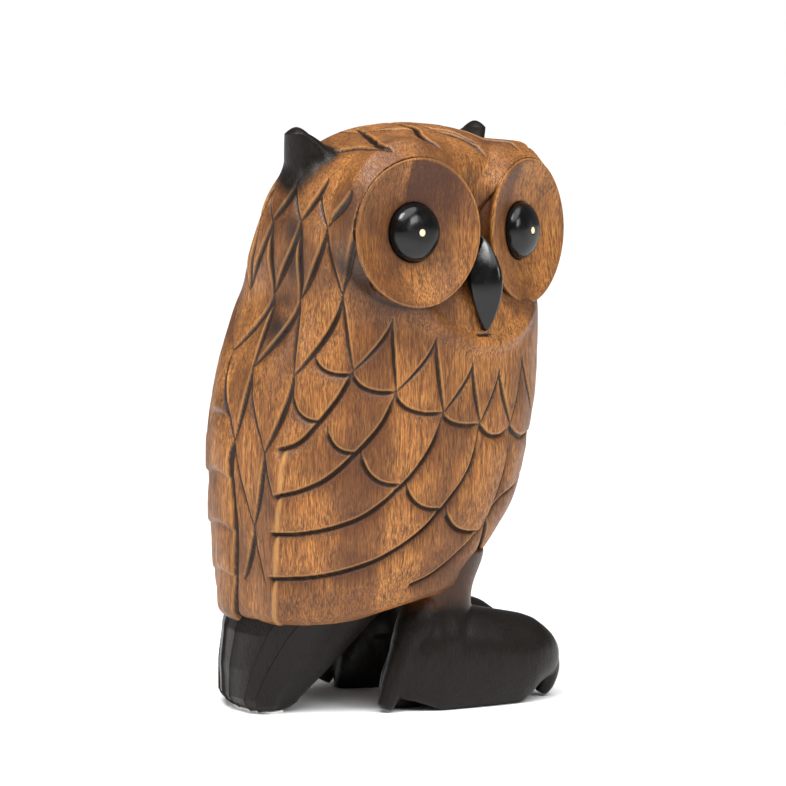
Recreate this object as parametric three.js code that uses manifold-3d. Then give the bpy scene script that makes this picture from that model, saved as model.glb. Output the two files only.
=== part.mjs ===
// A carved wooden owl: one block of hardwood for body, head, ears, legs, feet and tail, with turned
// eyes, a beak and two pupil pegs let into it, and a thin felt pad glued under the tail.
// Millimetres, +Z up. The feet point to -Y, the owl's right side is -X, and the head is turned to its right.

import * as THREE from "three";
import { LoftGeometry } from "three/addons/geometries/LoftGeometry.js";
import { mergeVertices } from "three/addons/utils/BufferGeometryUtils.js";
import Module from "manifold-3d";

// ---- Driving dimensions ----

const CROWN_HEIGHT = 400;
const HEAD_TURN = THREE.MathUtils.degToRad(66.6); // from the feet's direction towards the owl's right
const NECK_LOW = 262; // below this height the section follows the body, above NECK_HIGH the head
const NECK_HIGH = 312;
const RING_POINTS = 60;
const TURNED_SEGMENTS = 48;
const BORE_SEGMENTS = 24;

// Body sections: height, front depth, back depth, half-width.
const BODY_SECTIONS = [
  [64, 50, 101, 76],
  [67, 54, 106, 80],
  [78, 60, 109, 84],
  [90, 68, 110, 87],
  [117, 83, 112, 91],
  [152, 98, 114, 95],
  [187, 107, 114, 97],
  [208, 111, 112, 98],
  [240, 113, 105, 98],
  [265, 114, 96, 97],
  [290, 113, 85, 97],
  [330, 108, 72, 97],
];
// Head sections: height, front depth, back depth, half-width, forward shift.
const HEAD_SECTIONS = [
  [262, 102, 96, 98, 0],
  [300, 88, 74, 97, 0],
  [330, 88, 53, 96, 0],
  [352, 89, 43, 89, 0],
  [370, 88, 35, 77, 3],
  [383, 76, 28, 62, 8],
  [393, 52, 20, 43, 14],
  [399, 24, 9, 20, 20],
  [CROWN_HEIGHT, 4, 2, 4, 21],
];
// Exponents of the sections' superellipses: 2 is an ellipse, and more is squarer.
const BODY_ROUNDNESS = 2.25;
const NAPE_ROUNDNESS = 2.2;
const FACE_ROUNDNESS = 3.6;
const WING_RISE = 20; // how far the underside climbs from the tail to the breast
const WING_RISE_HEIGHTS = [64, 150]; // lifted in full at the first height and not at all at the second
const WING_RISE_PLACES = [-75, 40]; // how far ahead of the axis the climb begins and ends

// Face: two dished discs, splayed apart, with an eye in each.
const DISC_RADIUS = 49.5;
const DISC_HEIGHTS = { right: 328, left: 326.5 };
const DISC_OFFSETS = { right: 53, left: 56 }; // each disc's centre from the head's middle plane
const DISC_FORWARD = 94; // rim plane's centre from the head's axis
const DISC_SPLAY = THREE.MathUtils.degToRad(12);
const DISC_THICKNESS = 34;
const DISC_TAPER_WIDTH = 6; // the disc is narrower by this at its back
const DISC_TAPER_DEPTH = 12;
const RIM_BEVEL = 1.5;
const RIM_WIDTH = 2; // flat rim left round the dish
const DISH_DEPTH = 9;
const DISH_POWER = 3; // the dish is flat in the middle and steep at the rim
const DISH_STEPS = 6;
const EYE_RADIUS = 19.5;
const EYE_DOME = 12;
const EYE_SEAT = 3; // straight wall of the eye, in its socket
const TENON_RADIUS = 6;
const EYE_DOME_STEPS = 8;
const TENON_LENGTH = 9;
const MORTISE_SPARE = 1; // room for glue past the end of a tenon
const SOCKET_LIP = 0.2; // the socket's wall starts this far below the dish
const CUT_CLEARANCE = 30; // how far ahead of the rim the dish's cut reaches
const PUPIL_RADIUS = 2.1;
const PUPIL_LENGTH = 4;
const PUPIL_SHOULDER = 0.3; // the peg's rounded end begins this far below the dome's top
const PUPIL_END = 0.2; // and stands this far above it
const BORE_CLEARANCE = 2; // how far above the dome the bore's cut reaches
const FIT_GAP = 0.3;

// Beak: an almond with a tenon in a mortise.
const BEAK_LENGTH = 65;
const BEAK_HALF_WIDTH = 12.5;
const BEAK_TOP = 326;
const BEAK_BACK = 91;
const BEAK_TENON = 10;
const BEAK_TENON_RADIUS = 4;
const BEAK_TENON_OVERLAP = 6; // the part of the tenon that is inside the beak
const BEAK_POINTS = 20;

// Ears: the base's offset from the head's middle plane and its forward place, then the tip's, with its height.
const EARS = [
  { side: -1, base: [73, 12], tip: [88, 9, 397] },
  { side: 1, base: [73, 12], tip: [88, 12, 399] },
];
const EAR_BASE_HEIGHT = 348;
const EAR_HALF_WIDTH = 24;
const EAR_TIP_HALF_WIDTH = 7;
const EAR_END_SHARE = 0.4; // the end ring is this share of the tip's width, to round it off
const EAR_FLATNESS = 0.8; // an ear's thickness across the head as a share of its width ahead
const EAR_LEAN = 1.5; // the ear curves outwards by this power of its height
const EAR_RINGS = 6;
const EAR_POINTS = 16;

// Legs and feet, placed by the feet's middle lines.
const LEG_OFFSET = 46;
const LEG_FORWARD = 29;
const LEG_RADIUS = 23;
const LEG_TAPER = 3; // the leg is thicker by this at its top
const LEG_HEIGHTS = [40, 110]; // from inside the foot to inside the body
const LEG_SEGMENTS = 32;
const FOOT_OFFSET = 5; // the foot's middle line from the leg's, at the heel
const FOOT_POINTS = 24;
const FOOT_SQUARENESS = 0.75; // under 1, the sides of a foot section are steeper than an ellipse's
const TOE_IN = THREE.MathUtils.degToRad(6);
const SOLE_HEIGHT = 0;
const FLAT_SOLE = 1.3; // over 1, the underside of a foot section is cut off flat
// Foot sections: forward, half-width, underside, top.
const FOOT_SECTIONS = [
  [-20, 4, SOLE_HEIGHT, 9],
  [-16, 9, SOLE_HEIGHT, 20],
  [-9, 14, SOLE_HEIGHT, 34],
  [-3, 18, SOLE_HEIGHT, 50],
  [3, 21, SOLE_HEIGHT, 64],
  [12, 23, SOLE_HEIGHT, 72],
  [24, 25, SOLE_HEIGHT, 74],
  [45, 27, SOLE_HEIGHT, 72],
  [65, 28, SOLE_HEIGHT, 66],
  [84, 27, SOLE_HEIGHT, 62],
  [93, 25, 6, 60],
  [101, 22, 11, 56],
  [106, 20, SOLE_HEIGHT, 53],
  [113, 16, SOLE_HEIGHT, 48],
  [119, 11, 16, 41],
  [122, 5, 24, 33],
];

// Tail: a fan that leans on a thin pad.
const PAD_THICKNESS = 1.5;
const TAIL_TOP = 84;
const TAIL_STEPS = 12;
const TAIL_SQUARENESS = 0.7; // under 1, the fan's back is fuller than an ellipse
const TAIL_FRONT_INSET = 4; // the front's corners from the fan's edges
const TAIL_FRONT_BULGE = 3;
// Tail sections: height, rear, front, half-width.
const TAIL_SECTIONS = [
  [PAD_THICKNESS + FIT_GAP, 103, 76, 34],
  [10, 109, 70, 37],
  [30, 109, 52, 43],
  [55, 106, 32, 52],
  [68, 102, 21, 60],
  [TAIL_TOP, 98, 8, 62],
];

// The pad's outline is the tail's lowest section, drawn in by these.
const PAD_SIDE_INSET = 2;
const PAD_CORNER_INSET = 4;
const PAD_REAR_INSET = 1;
const PAD_FRONT_INSET = 6;
const PAD_CURVE_STEPS = 10;

// ---- Solids ----

const wasm = await Module();
wasm.setup();

// Turns a closed geometry, placed by a matrix, into a solid.
function solid(geometry, matrix = new THREE.Matrix4()) {
  const bare = new THREE.BufferGeometry();
  bare.setAttribute("position", geometry.getAttribute("position").clone());
  bare.setIndex(geometry.getIndex());
  bare.applyMatrix4(matrix);
  const merged = mergeVertices(bare, 1e-3);
  const corners = merged.index.array;
  const faces = [];
  for (let i = 0; i < corners.length; i += 3) {
    const [a, b, c] = [corners[i], corners[i + 1], corners[i + 2]];
    if (a !== b && b !== c && c !== a) faces.push(a, b, c);
  }
  const mesh = new wasm.Mesh({
    numProp: 3,
    vertProperties: new Float32Array(merged.attributes.position.array),
    triVerts: new Uint32Array(faces),
  });
  return new wasm.Manifold(mesh);
}

// Turns a solid back into a geometry.
function geometryOf(body) {
  const mesh = body.getMesh();
  const geometry = new THREE.BufferGeometry();
  const step = mesh.numProp;
  const points = new Float32Array(mesh.numVert * 3);
  for (let i = 0; i < mesh.numVert; i++) {
    points.set(mesh.vertProperties.subarray(i * step, i * step + 3), i * 3);
  }
  geometry.setAttribute("position", new THREE.BufferAttribute(points, 3));
  geometry.setIndex(new THREE.BufferAttribute(mesh.triVerts, 1));
  const flat = geometry.toNonIndexed();
  flat.computeVertexNormals();
  return flat;
}

// A closed loft through rings of points, each ring counterclockwise seen from its end.
function loft(rings) {
  return new LoftGeometry(rings, { capStart: true, capEnd: true });
}

// The row of a table at a height, by a smooth curve through its rows.
function rowAt(table, height) {
  const last = table.length - 1;
  if (height <= table[0][0]) return table[0];
  if (height >= table[last][0]) return table[last];
  let i = 0;
  while (table[i + 1][0] < height) i++;
  const [before, low, high, after] = [
    table[Math.max(i - 1, 0)],
    table[i],
    table[i + 1],
    table[Math.min(i + 2, last)],
  ];
  const span = high[0] - low[0];
  const f = (height - low[0]) / span;
  return low.map((value, k) => {
    const slopeLow = ((high[k] - before[k]) / (high[0] - before[0])) * span;
    const slopeHigh = ((after[k] - value) / (after[0] - low[0])) * span;
    const f2 = f * f;
    const f3 = f2 * f;
    return (
      (2 * f3 - 3 * f2 + 1) * value +
      (f3 - 2 * f2 + f) * slopeLow +
      (3 * f2 - 2 * f3) * high[k] +
      (f3 - f2) * slopeHigh
    );
  });
}

// Radius of a superellipse that is deeper or shallower behind than in front.
function sectionRadius(angle, front, back, half, roundnessFront, roundnessBack) {
  const along = Math.cos(angle);
  const across = Math.sin(angle);
  const depth = along > 0 ? front : back;
  const roundness = along > 0 ? roundnessFront : roundnessBack;
  const sum = Math.abs(along / depth) ** roundness + Math.abs(across / half) ** roundness;
  return sum ** (-1 / roundness);
}

// ---- Trunk: body, neck and head in one loft ----

// The direction at an angle from the feet's direction towards the owl's right.
function heading(angle) {
  return new THREE.Vector2(-Math.sin(angle), -Math.cos(angle));
}

const faceAhead = heading(HEAD_TURN);
const faceAcross = heading(HEAD_TURN - Math.PI / 2); // towards the owl's left

function trunkPoint(angle, height) {
  const [, front, back, half] = rowAt(BODY_SECTIONS, height);
  const [, faceFront, faceBack, faceHalf, shift] = rowAt(HEAD_SECTIONS, height);
  const headShare = THREE.MathUtils.smoothstep(height, NECK_LOW, NECK_HIGH);
  const ofBody = sectionRadius(angle, front, back, half, BODY_ROUNDNESS, BODY_ROUNDNESS);
  const face = angle - HEAD_TURN;
  const ofHead = sectionRadius(face, faceFront, faceBack, faceHalf, FACE_ROUNDNESS, NAPE_ROUNDNESS);
  const radius = THREE.MathUtils.lerp(ofBody, ofHead, headShare);
  const out = heading(angle).multiplyScalar(radius).addScaledVector(faceAhead, shift * headShare);
  const low = 1 - THREE.MathUtils.smoothstep(height, ...WING_RISE_HEIGHTS);
  const rise = WING_RISE * THREE.MathUtils.smoothstep(-out.y, ...WING_RISE_PLACES);
  return new THREE.Vector3(out.x, out.y, height + low * rise);
}

// Heights of the loft's rings, closer together where the crown rounds over.
const TRUNK_HEIGHTS = [
  64, 66, 72, 80, 90, 102, 117, 135, 155, 175, 195, 215, 235, 252, 266, 280, 292, 304, 316, 328, 340,
  350, 360, 368, 375, 381, 386, 390, 394, 397, 399, CROWN_HEIGHT,
];

function makeTrunk() {
  const rings = TRUNK_HEIGHTS.map((height) => {
    const ring = [];
    for (let i = 0; i < RING_POINTS; i++) {
      ring.push(trunkPoint((-i / RING_POINTS) * Math.PI * 2, height));
    }
    return ring;
  });
  return solid(loft(rings));
}

// ---- Face discs ----

// The frame of one face disc: its own z axis points out of the face.
function discMatrix(side) {
  const out = heading(HEAD_TURN - side * DISC_SPLAY);
  const z = new THREE.Vector3(out.x, out.y, 0);
  const y = new THREE.Vector3(0, 0, 1);
  const x = new THREE.Vector3().crossVectors(y, z);
  const name = side < 0 ? "right" : "left";
  const centre = faceAhead
    .clone()
    .multiplyScalar(DISC_FORWARD)
    .addScaledVector(faceAcross, side * DISC_OFFSETS[name]);
  const height = DISC_HEIGHTS[name];
  return new THREE.Matrix4().makeBasis(x, y, z).setPosition(centre.x, centre.y, height);
}

// A turned solid about the z axis from a profile of [radius, height] that starts and ends on the axis.
function turned(profile, segments = TURNED_SEGMENTS) {
  const points = profile.map(([radius, height]) => new THREE.Vector2(radius, height));
  const geometry = new THREE.LatheGeometry(points, segments);
  geometry.rotateX(Math.PI / 2);
  return geometry;
}

const dishFloor = -DISH_DEPTH;

function makeDisc(side) {
  const profile = [
    [0, -DISC_THICKNESS],
    [DISC_RADIUS - DISC_TAPER_WIDTH, -DISC_THICKNESS],
    [DISC_RADIUS, -DISC_THICKNESS + DISC_TAPER_DEPTH],
    [DISC_RADIUS, -RIM_BEVEL],
    [DISC_RADIUS - RIM_BEVEL, 0],
    [0, 0],
  ];
  return solid(turned(profile), discMatrix(side));
}

// What the gouge takes out: the shallow dish, everything in front of it, and the eye's socket.
function makeDishCut(side) {
  const rim = DISC_RADIUS - RIM_WIDTH;
  const socket = EYE_RADIUS + FIT_GAP;
  const tenon = TENON_RADIUS + FIT_GAP;
  const dish = [];
  for (let i = 1; i <= DISH_STEPS; i++) {
    const radius = socket + ((rim - socket) * i) / DISH_STEPS;
    dish.push([radius, dishFloor * (1 - (radius / rim) ** DISH_POWER)]);
  }
  const seat = dishFloor - EYE_SEAT;
  const mortise = seat - TENON_LENGTH - MORTISE_SPARE;
  const profile = [
    [0, mortise],
    [tenon, mortise],
    [tenon, seat - FIT_GAP],
    [socket, seat - FIT_GAP],
    [socket, dish[0][1] - SOCKET_LIP],
    ...dish,
    [rim, CUT_CLEARANCE],
    [0, CUT_CLEARANCE],
  ];
  return solid(turned(profile), discMatrix(side));
}

// ---- Eyes and pupil pegs ----

function eyeProfile() {
  const profile = [
    [0, dishFloor - EYE_SEAT - TENON_LENGTH],
    [TENON_RADIUS, dishFloor - EYE_SEAT - TENON_LENGTH],
    [TENON_RADIUS, dishFloor - EYE_SEAT],
    [EYE_RADIUS, dishFloor - EYE_SEAT],
    [EYE_RADIUS, dishFloor],
  ];
  for (let i = 1; i <= EYE_DOME_STEPS; i++) {
    const angle = (i / EYE_DOME_STEPS) * (Math.PI / 2);
    profile.push([EYE_RADIUS * Math.cos(angle), dishFloor + EYE_DOME * Math.sin(angle)]);
  }
  profile[profile.length - 1][0] = 0;
  return profile;
}

const domeTop = dishFloor + EYE_DOME;

function makeEye(side) {
  const eye = solid(turned(eyeProfile()), discMatrix(side));
  const hole = PUPIL_RADIUS + FIT_GAP;
  const bottom = domeTop - PUPIL_LENGTH - FIT_GAP;
  const bore = [
    [0, bottom],
    [hole, bottom],
    [hole, domeTop + BORE_CLEARANCE],
    [0, domeTop + BORE_CLEARANCE],
  ];
  return eye.subtract(solid(turned(bore, BORE_SEGMENTS), discMatrix(side)));
}

function makePupil(side) {
  const peg = [
    [0, domeTop - PUPIL_LENGTH],
    [PUPIL_RADIUS, domeTop - PUPIL_LENGTH],
    [PUPIL_RADIUS, domeTop - PUPIL_SHOULDER],
    [PUPIL_RADIUS * 0.6, domeTop + PUPIL_END / 2],
    [0, domeTop + PUPIL_END],
  ];
  return solid(turned(peg, BORE_SEGMENTS), discMatrix(side));
}

// ---- Beak ----

// A point in the head's own frame: across to the owl's left, ahead along the face, and up.
function inHead(across, ahead, height) {
  const flat = faceAhead.clone().multiplyScalar(ahead).addScaledVector(faceAcross, across);
  return new THREE.Vector3(flat.x, flat.y, height);
}

// Beak sections from the tip up: share of the length, half-width, back, front.
const BEAK_SECTIONS = [
  [0, 0.8, 102, 105],
  [0.06, 3.2, 100, 108.5],
  [0.18, 7.2, 97, 113],
  [0.34, 11, 94, 117],
  [0.48, BEAK_HALF_WIDTH, BEAK_BACK, 118.5],
  [0.64, 11.4, BEAK_BACK - 2, 117],
  [0.8, 8, BEAK_BACK - 4, 112],
  [0.93, 4, BEAK_BACK - 4, 105],
  [1, 1, BEAK_BACK - 3, 99],
];

function beakRing([share, half, back, front], grow) {
  const height = BEAK_TOP - BEAK_LENGTH * (1 - share);
  const ring = [];
  for (let i = 0; i < BEAK_POINTS; i++) {
    const angle = (-i / BEAK_POINTS) * Math.PI * 2;
    const across = (half + grow) * Math.cos(angle);
    const middle = (back + front) / 2;
    const ahead = middle + ((front - back) / 2 + grow) * Math.sin(angle);
    ring.push(inHead(across, ahead, height + (share - 0.5) * 2 * grow));
  }
  return ring;
}

function makeBeak(grow = 0) {
  const shell = solid(loft(BEAK_SECTIONS.map((section) => beakRing(section, grow))));
  const radius = BEAK_TENON_RADIUS + grow;
  const length = BEAK_TENON + BEAK_TENON_OVERLAP + grow;
  const tenon = new THREE.CylinderGeometry(radius, radius, length, BORE_SEGMENTS);
  const ahead = new THREE.Vector3(faceAhead.x, faceAhead.y, 0);
  const turn = new THREE.Quaternion().setFromUnitVectors(new THREE.Vector3(0, 1, 0), ahead);
  const middle = BEAK_BACK + (BEAK_TENON_OVERLAP - BEAK_TENON) / 2;
  const place = inHead(0, middle, BEAK_TOP - BEAK_LENGTH / 2);
  const matrix = new THREE.Matrix4().compose(place, turn, new THREE.Vector3(1, 1, 1));
  return shell.add(solid(tenon, matrix));
}

// ---- Ears ----

function makeEar({ side, base, tip }) {
  const rings = [];
  for (let k = 0; k <= EAR_RINGS; k++) {
    const f = k / EAR_RINGS;
    const across = THREE.MathUtils.lerp(base[0], tip[0], f ** EAR_LEAN);
    const ahead = THREE.MathUtils.lerp(base[1], tip[1], f);
    const height = THREE.MathUtils.lerp(EAR_BASE_HEIGHT, tip[2], f);
    const taper = THREE.MathUtils.lerp(EAR_HALF_WIDTH, EAR_TIP_HALF_WIDTH, f);
    const half = k === EAR_RINGS ? EAR_TIP_HALF_WIDTH * EAR_END_SHARE : taper;
    const ring = [];
    for (let i = 0; i < EAR_POINTS; i++) {
      const angle = (-i / EAR_POINTS) * Math.PI * 2;
      const sideways = side * across + half * EAR_FLATNESS * Math.cos(angle);
      ring.push(inHead(sideways, ahead + half * Math.sin(angle), height));
    }
    rings.push(ring);
  }
  return solid(loft(rings));
}

// ---- Legs, feet and tail ----

function makeLeg(side) {
  const [low, high] = LEG_HEIGHTS;
  const leg = new THREE.CylinderGeometry(LEG_RADIUS + LEG_TAPER, LEG_RADIUS, high - low, LEG_SEGMENTS);
  leg.rotateX(Math.PI / 2);
  leg.translate(side * LEG_OFFSET, -LEG_FORWARD, (low + high) / 2);
  return solid(leg);
}

function makeFoot(side) {
  const rings = FOOT_SECTIONS.map(([ahead, half, low, high]) => {
    const ring = [];
    for (let i = 0; i < FOOT_POINTS; i++) {
      const angle = (i / FOOT_POINTS) * Math.PI * 2;
      const c = Math.cos(angle);
      const s = Math.sin(angle);
      const across = half * Math.sign(c) * Math.abs(c) ** FOOT_SQUARENESS;
      const up = Math.max(-1, s < 0 ? s * FLAT_SOLE : s) * ((high - low) / 2);
      ring.push(new THREE.Vector3(across, -ahead, (high + low) / 2 + up));
    }
    return ring;
  });
  const turn = new THREE.Matrix4().makeRotationZ(-side * TOE_IN);
  turn.setPosition(side * (LEG_OFFSET + FOOT_OFFSET), 0, 0);
  return solid(loft(rings), turn);
}

function makeTail() {
  const rings = TAIL_SECTIONS.map(([height, rear, front, half]) => {
    const ring = [];
    for (let i = 0; i <= TAIL_STEPS; i++) {
      const angle = (i / TAIL_STEPS) * Math.PI;
      const across = half * Math.cos(angle);
      const back = (front + rear) / 2 + ((rear - front) / 2) * Math.sin(angle) ** TAIL_SQUARENESS;
      ring.push(new THREE.Vector3(across, back, height));
    }
    ring.push(new THREE.Vector3(-half + TAIL_FRONT_INSET, front, height));
    ring.push(new THREE.Vector3(0, front + TAIL_FRONT_BULGE, height));
    ring.push(new THREE.Vector3(half - TAIL_FRONT_INSET, front, height));
    return ring;
  });
  return solid(loft(rings));
}

function makePad() {
  const [, rear, front, half] = TAIL_SECTIONS[0];
  const waist = (front + rear) / 2 - PAD_CORNER_INSET;
  const corner = half - PAD_CORNER_INSET;
  const outline = new THREE.Shape();
  outline.moveTo(half - PAD_SIDE_INSET, waist);
  outline.quadraticCurveTo(corner, rear - PAD_CORNER_INSET, 0, rear - PAD_REAR_INSET);
  outline.quadraticCurveTo(-corner, rear - PAD_CORNER_INSET, -half + PAD_SIDE_INSET, waist);
  outline.lineTo(-half + PAD_FRONT_INSET, front + PAD_SIDE_INSET);
  outline.lineTo(half - PAD_FRONT_INSET, front + PAD_SIDE_INSET);
  outline.closePath();
  const pad = new THREE.ExtrudeGeometry(outline, {
    depth: PAD_THICKNESS,
    bevelEnabled: false,
    curveSegments: PAD_CURVE_STEPS,
  });
  return solid(pad);
}

// ---- Assembly ----

const sides = [
  ["right", -1],
  ["left", 1],
];
let body = makeTrunk().add(makeTail());
for (const ear of EARS) body = body.add(makeEar(ear));
for (const [, side] of sides) {
  body = body.add(makeLeg(side)).add(makeFoot(side)).add(makeDisc(side));
}
for (const [, side] of sides) body = body.subtract(makeDishCut(side));
body = body.subtract(makeBeak(FIT_GAP));

const STAINED_WOOD = { color: 0x9c6b3e, roughness: 0.5, metalness: 0 };
const BLACK_LACQUER = { color: 0x121214, roughness: 0.15, metalness: 0 };
const PALE_WOOD = { color: 0xe8cfa8, roughness: 0.5, metalness: 0 };
const FELT = { color: 0xe9e6df, roughness: 0.95, metalness: 0 };

const figure = new THREE.Group();

function addPiece(name, piece, look) {
  const mesh = new THREE.Mesh(geometryOf(piece), new THREE.MeshStandardMaterial(look));
  mesh.name = name;
  figure.add(mesh);
}

addPiece("carved_body", body, STAINED_WOOD);
addPiece("beak", makeBeak(), BLACK_LACQUER);
for (const [name, side] of sides) {
  addPiece(name + "_eye", makeEye(side), BLACK_LACQUER);
  addPiece(name + "_pupil_peg", makePupil(side), PALE_WOOD);
}
addPiece("tail_pad", makePad(), FELT);

// The origin is the middle of the figure's box, on the ground.
const middle = new THREE.Box3().setFromObject(figure).getCenter(new THREE.Vector3());
figure.position.set(-middle.x, -middle.y, 0);

const owl = new THREE.Group();
owl.add(figure);

export default owl;
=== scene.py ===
"""A carved owl: one block of hardwood with let-in eyes, pupil pegs and beak, and a felt pad under its tail.

Every piece is worked out in millimetres from the block's own upright axis, then moved to the frame in metres.
A turn is an angle about that axis in degrees, from the way the feet point towards the owl's right side.
"""
import bpy
import numpy as np
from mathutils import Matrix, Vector


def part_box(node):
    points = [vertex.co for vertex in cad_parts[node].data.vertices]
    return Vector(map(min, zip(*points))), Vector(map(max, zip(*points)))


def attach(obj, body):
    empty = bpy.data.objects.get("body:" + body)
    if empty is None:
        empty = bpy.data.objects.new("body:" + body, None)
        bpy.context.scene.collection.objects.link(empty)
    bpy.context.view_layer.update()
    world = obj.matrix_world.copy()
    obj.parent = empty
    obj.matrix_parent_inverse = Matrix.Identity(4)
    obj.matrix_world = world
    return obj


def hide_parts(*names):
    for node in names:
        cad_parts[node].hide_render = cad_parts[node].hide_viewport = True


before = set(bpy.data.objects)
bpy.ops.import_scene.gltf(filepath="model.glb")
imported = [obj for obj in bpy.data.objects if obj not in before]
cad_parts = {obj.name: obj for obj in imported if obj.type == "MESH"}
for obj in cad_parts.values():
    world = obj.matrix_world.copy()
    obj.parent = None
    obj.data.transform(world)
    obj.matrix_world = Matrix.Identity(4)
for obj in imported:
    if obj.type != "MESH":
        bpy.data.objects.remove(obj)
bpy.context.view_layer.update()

# ---- The block: body, neck and head ----
# One upright block of hardwood, turned roughly to shape and carved all over with a gouge and a V-tool,
# then sanded, stained and waxed. The body faces the feet, and the head is turned to the owl's right.

pad_low, pad_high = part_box("tail_pad")
PAD_REAR = 102                          # the pad's rear edge, behind the block's axis
AXIS = np.array([(pad_low.x + pad_high.x) / 2, pad_high.y - PAD_REAR / 1000, 0])
HEAD_TURN = 66.6                        # the face's turn from the feet
COLUMNS = 840                           # points round the block: one every 0.8 mm
ROWS = 468
NECK_LOW, NECK_HIGH = 262, 312          # the section goes over from body to head between these heights
BODY_POWER = 2.25                       # the body's superellipse: 2 is an ellipse, and more is squarer
FACE_POWER, NAPE_POWER = 3.6, 2.2       # the head's, in front and behind

# Height, front depth, back depth, half width.
BODY_SECTIONS = np.array([
    [64, 50, 101, 76], [67, 54, 106, 80], [78, 60, 109, 84], [90, 68, 110, 87], [117, 83, 112, 91],
    [152, 98, 114, 95], [187, 107, 114, 97], [208, 111, 112, 98], [240, 113, 105, 98],
    [265, 114, 96, 97], [290, 113, 85, 97], [330, 108, 72, 97]], float)
# Height, front depth, back depth, half width, shift towards the face.
HEAD_SECTIONS = np.array([
    [262, 102, 96, 98, 0], [300, 88, 74, 97, 0], [330, 88, 53, 96, 0], [352, 89, 43, 89, 0],
    [370, 88, 35, 77, 3], [383, 76, 28, 62, 8], [393, 52, 20, 43, 14], [398.5, 24, 9, 20, 19],
    [400, 0.5, 0.5, 0.5, 21]], float)


def smoothstep(value, low, high):
    """0 below low, 1 above high, and 3u^2 - 2u^3 between."""
    share = np.clip((value - low) / (high - low), 0, 1)
    return share * share * (3 - 2 * share)


def heading(turn):
    """The level direction at a turn, as x and y: minus sine, minus cosine."""
    return np.stack([-np.sin(np.radians(turn)), -np.cos(np.radians(turn))], -1)


def smooth_rows(table, count):
    """A table's rows joined by a cubic, whose slope at a row is the mean of its neighbours', in even steps."""
    step = np.hypot(np.diff(table[:, 0]), np.diff(table[:, 1:4].mean(1)))
    place = np.concatenate([[0], np.cumsum(step)])
    at = np.linspace(0, place[-1], count)
    i = np.clip(np.searchsorted(place, at, side="right") - 1, 0, len(place) - 2)
    gap = (place[i + 1] - place[i])[:, None]
    f = (at - place[i])[:, None] / gap
    slope = np.gradient(table, place, axis=0)
    rise = table[i] + (3 * f**2 - 2 * f**3) * (table[i + 1] - table[i])
    return rise + (f**3 - 2 * f**2 + f) * gap * slope[i] + (f**3 - f**2) * gap * slope[i + 1]


def section_radius(turn, front, back, half, front_power, back_power):
    """Radius of a superellipse with one depth in front of the axis and another behind it."""
    along, across = np.cos(np.radians(turn)), np.sin(np.radians(turn))
    depth = np.where(along > 0, front, back)
    power = np.where(along > 0, front_power, back_power)
    return (np.abs(along / depth) ** power + np.abs(across / half) ** power) ** (-1 / power)


body_rows = smooth_rows(BODY_SECTIONS, 3000)
head_rows = smooth_rows(HEAD_SECTIONS, 3000)
# The profile that the rows of the mesh follow: the body's side up to the neck, then the head over the crown.
side = np.linspace(BODY_SECTIONS[0, 0], NECK_LOW, 1500, endpoint=False)
profile_height = np.concatenate([side, head_rows[:, 0]])
profile_out = np.concatenate([np.interp(side, body_rows[:, 0], body_rows[:, 1:4].mean(1)),
                              head_rows[:, 1:4].mean(1)])
profile_head = np.concatenate([np.repeat(head_rows[:1], len(side), 0), head_rows])
way = np.concatenate([[0], np.cumsum(np.hypot(np.diff(profile_height), np.diff(profile_out)))])

ARRIS_TURN = 150                        # the wings' rear corner, at the tail
ARRIS_LEAN = 0.06                       # degrees forward for each mm up
ARRIS_FOOT = 70                         # the height at which it has that turn
ARRIS_RISE, ARRIS_SPREAD = 6.5, 12      # mm proud, and degrees to either side
ARRIS_LOW, ARRIS_HIGH = 165, 208        # it fades out between these heights
WING_RISE = 20                          # how far the wings' lower edge climbs from the tail to the breast


def arris_turn(height):
    """The turn of the wing's rear corner at a height."""
    return ARRIS_TURN - ARRIS_LEAN * (height - ARRIS_FOOT)


def block_surface(turn, level):
    """The plain block before any feather is cut, from a turn and a place from 0 to 1 along the profile.

    A superellipse of the body goes over into one of the head, turned to the face. A tent on either side
    of the back makes the wings' rear corners, and the lowest rows are lifted towards the breast."""
    pick = np.interp(level * way[-1], way, np.arange(len(way)))
    height = np.interp(pick, np.arange(len(way)), profile_height)
    body = [np.interp(height, body_rows[:, 0], body_rows[:, k]) for k in (1, 2, 3)]
    head = [np.interp(pick, np.arange(len(way)), profile_head[:, k]) for k in (1, 2, 3, 4)]
    share = smoothstep(height, NECK_LOW, NECK_HIGH)
    of_body = section_radius(turn, *body, BODY_POWER, BODY_POWER)
    of_head = section_radius(turn - HEAD_TURN, *head[:3], FACE_POWER, NAPE_POWER)
    radius = (1 - share) * of_body + share * of_head
    off = np.abs(np.abs((turn + 180) % 360 - 180) - arris_turn(height))
    tent = np.clip(1 - off / ARRIS_SPREAD, 0, 1)
    radius = radius + ARRIS_RISE * tent * (1 - smoothstep(height, ARRIS_LOW, ARRIS_HIGH))
    out = heading(turn) * radius[..., None] + heading(HEAD_TURN) * (head[3] * share)[..., None]
    lift = (1 - smoothstep(height, 64, 150)) * WING_RISE * smoothstep(-out[..., 1], -75, 40)
    return np.concatenate([out, (height + lift)[..., None]], -1)


columns = np.arange(COLUMNS) / COLUMNS * 360
levels = np.linspace(0, 1, ROWS)
whole = (ROWS, COLUMNS)
block = block_surface(np.broadcast_to(columns, whole), np.broadcast_to(levels[:, None], whole))


def grid_normals(points):
    """Unit normals of a grid closed round its columns, from the cross product of its two directions."""
    around = np.roll(points, -1, 1) - np.roll(points, 1, 1)
    along = np.gradient(points, axis=0)
    normal = np.cross(along, around)
    return normal / np.maximum(np.linalg.norm(normal, axis=-1, keepdims=True), 1e-9)


def in_metres(points):
    """Points in the block's millimetres, moved to the frame."""
    return np.asarray(points, float) / 1000 + AXIS


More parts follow.
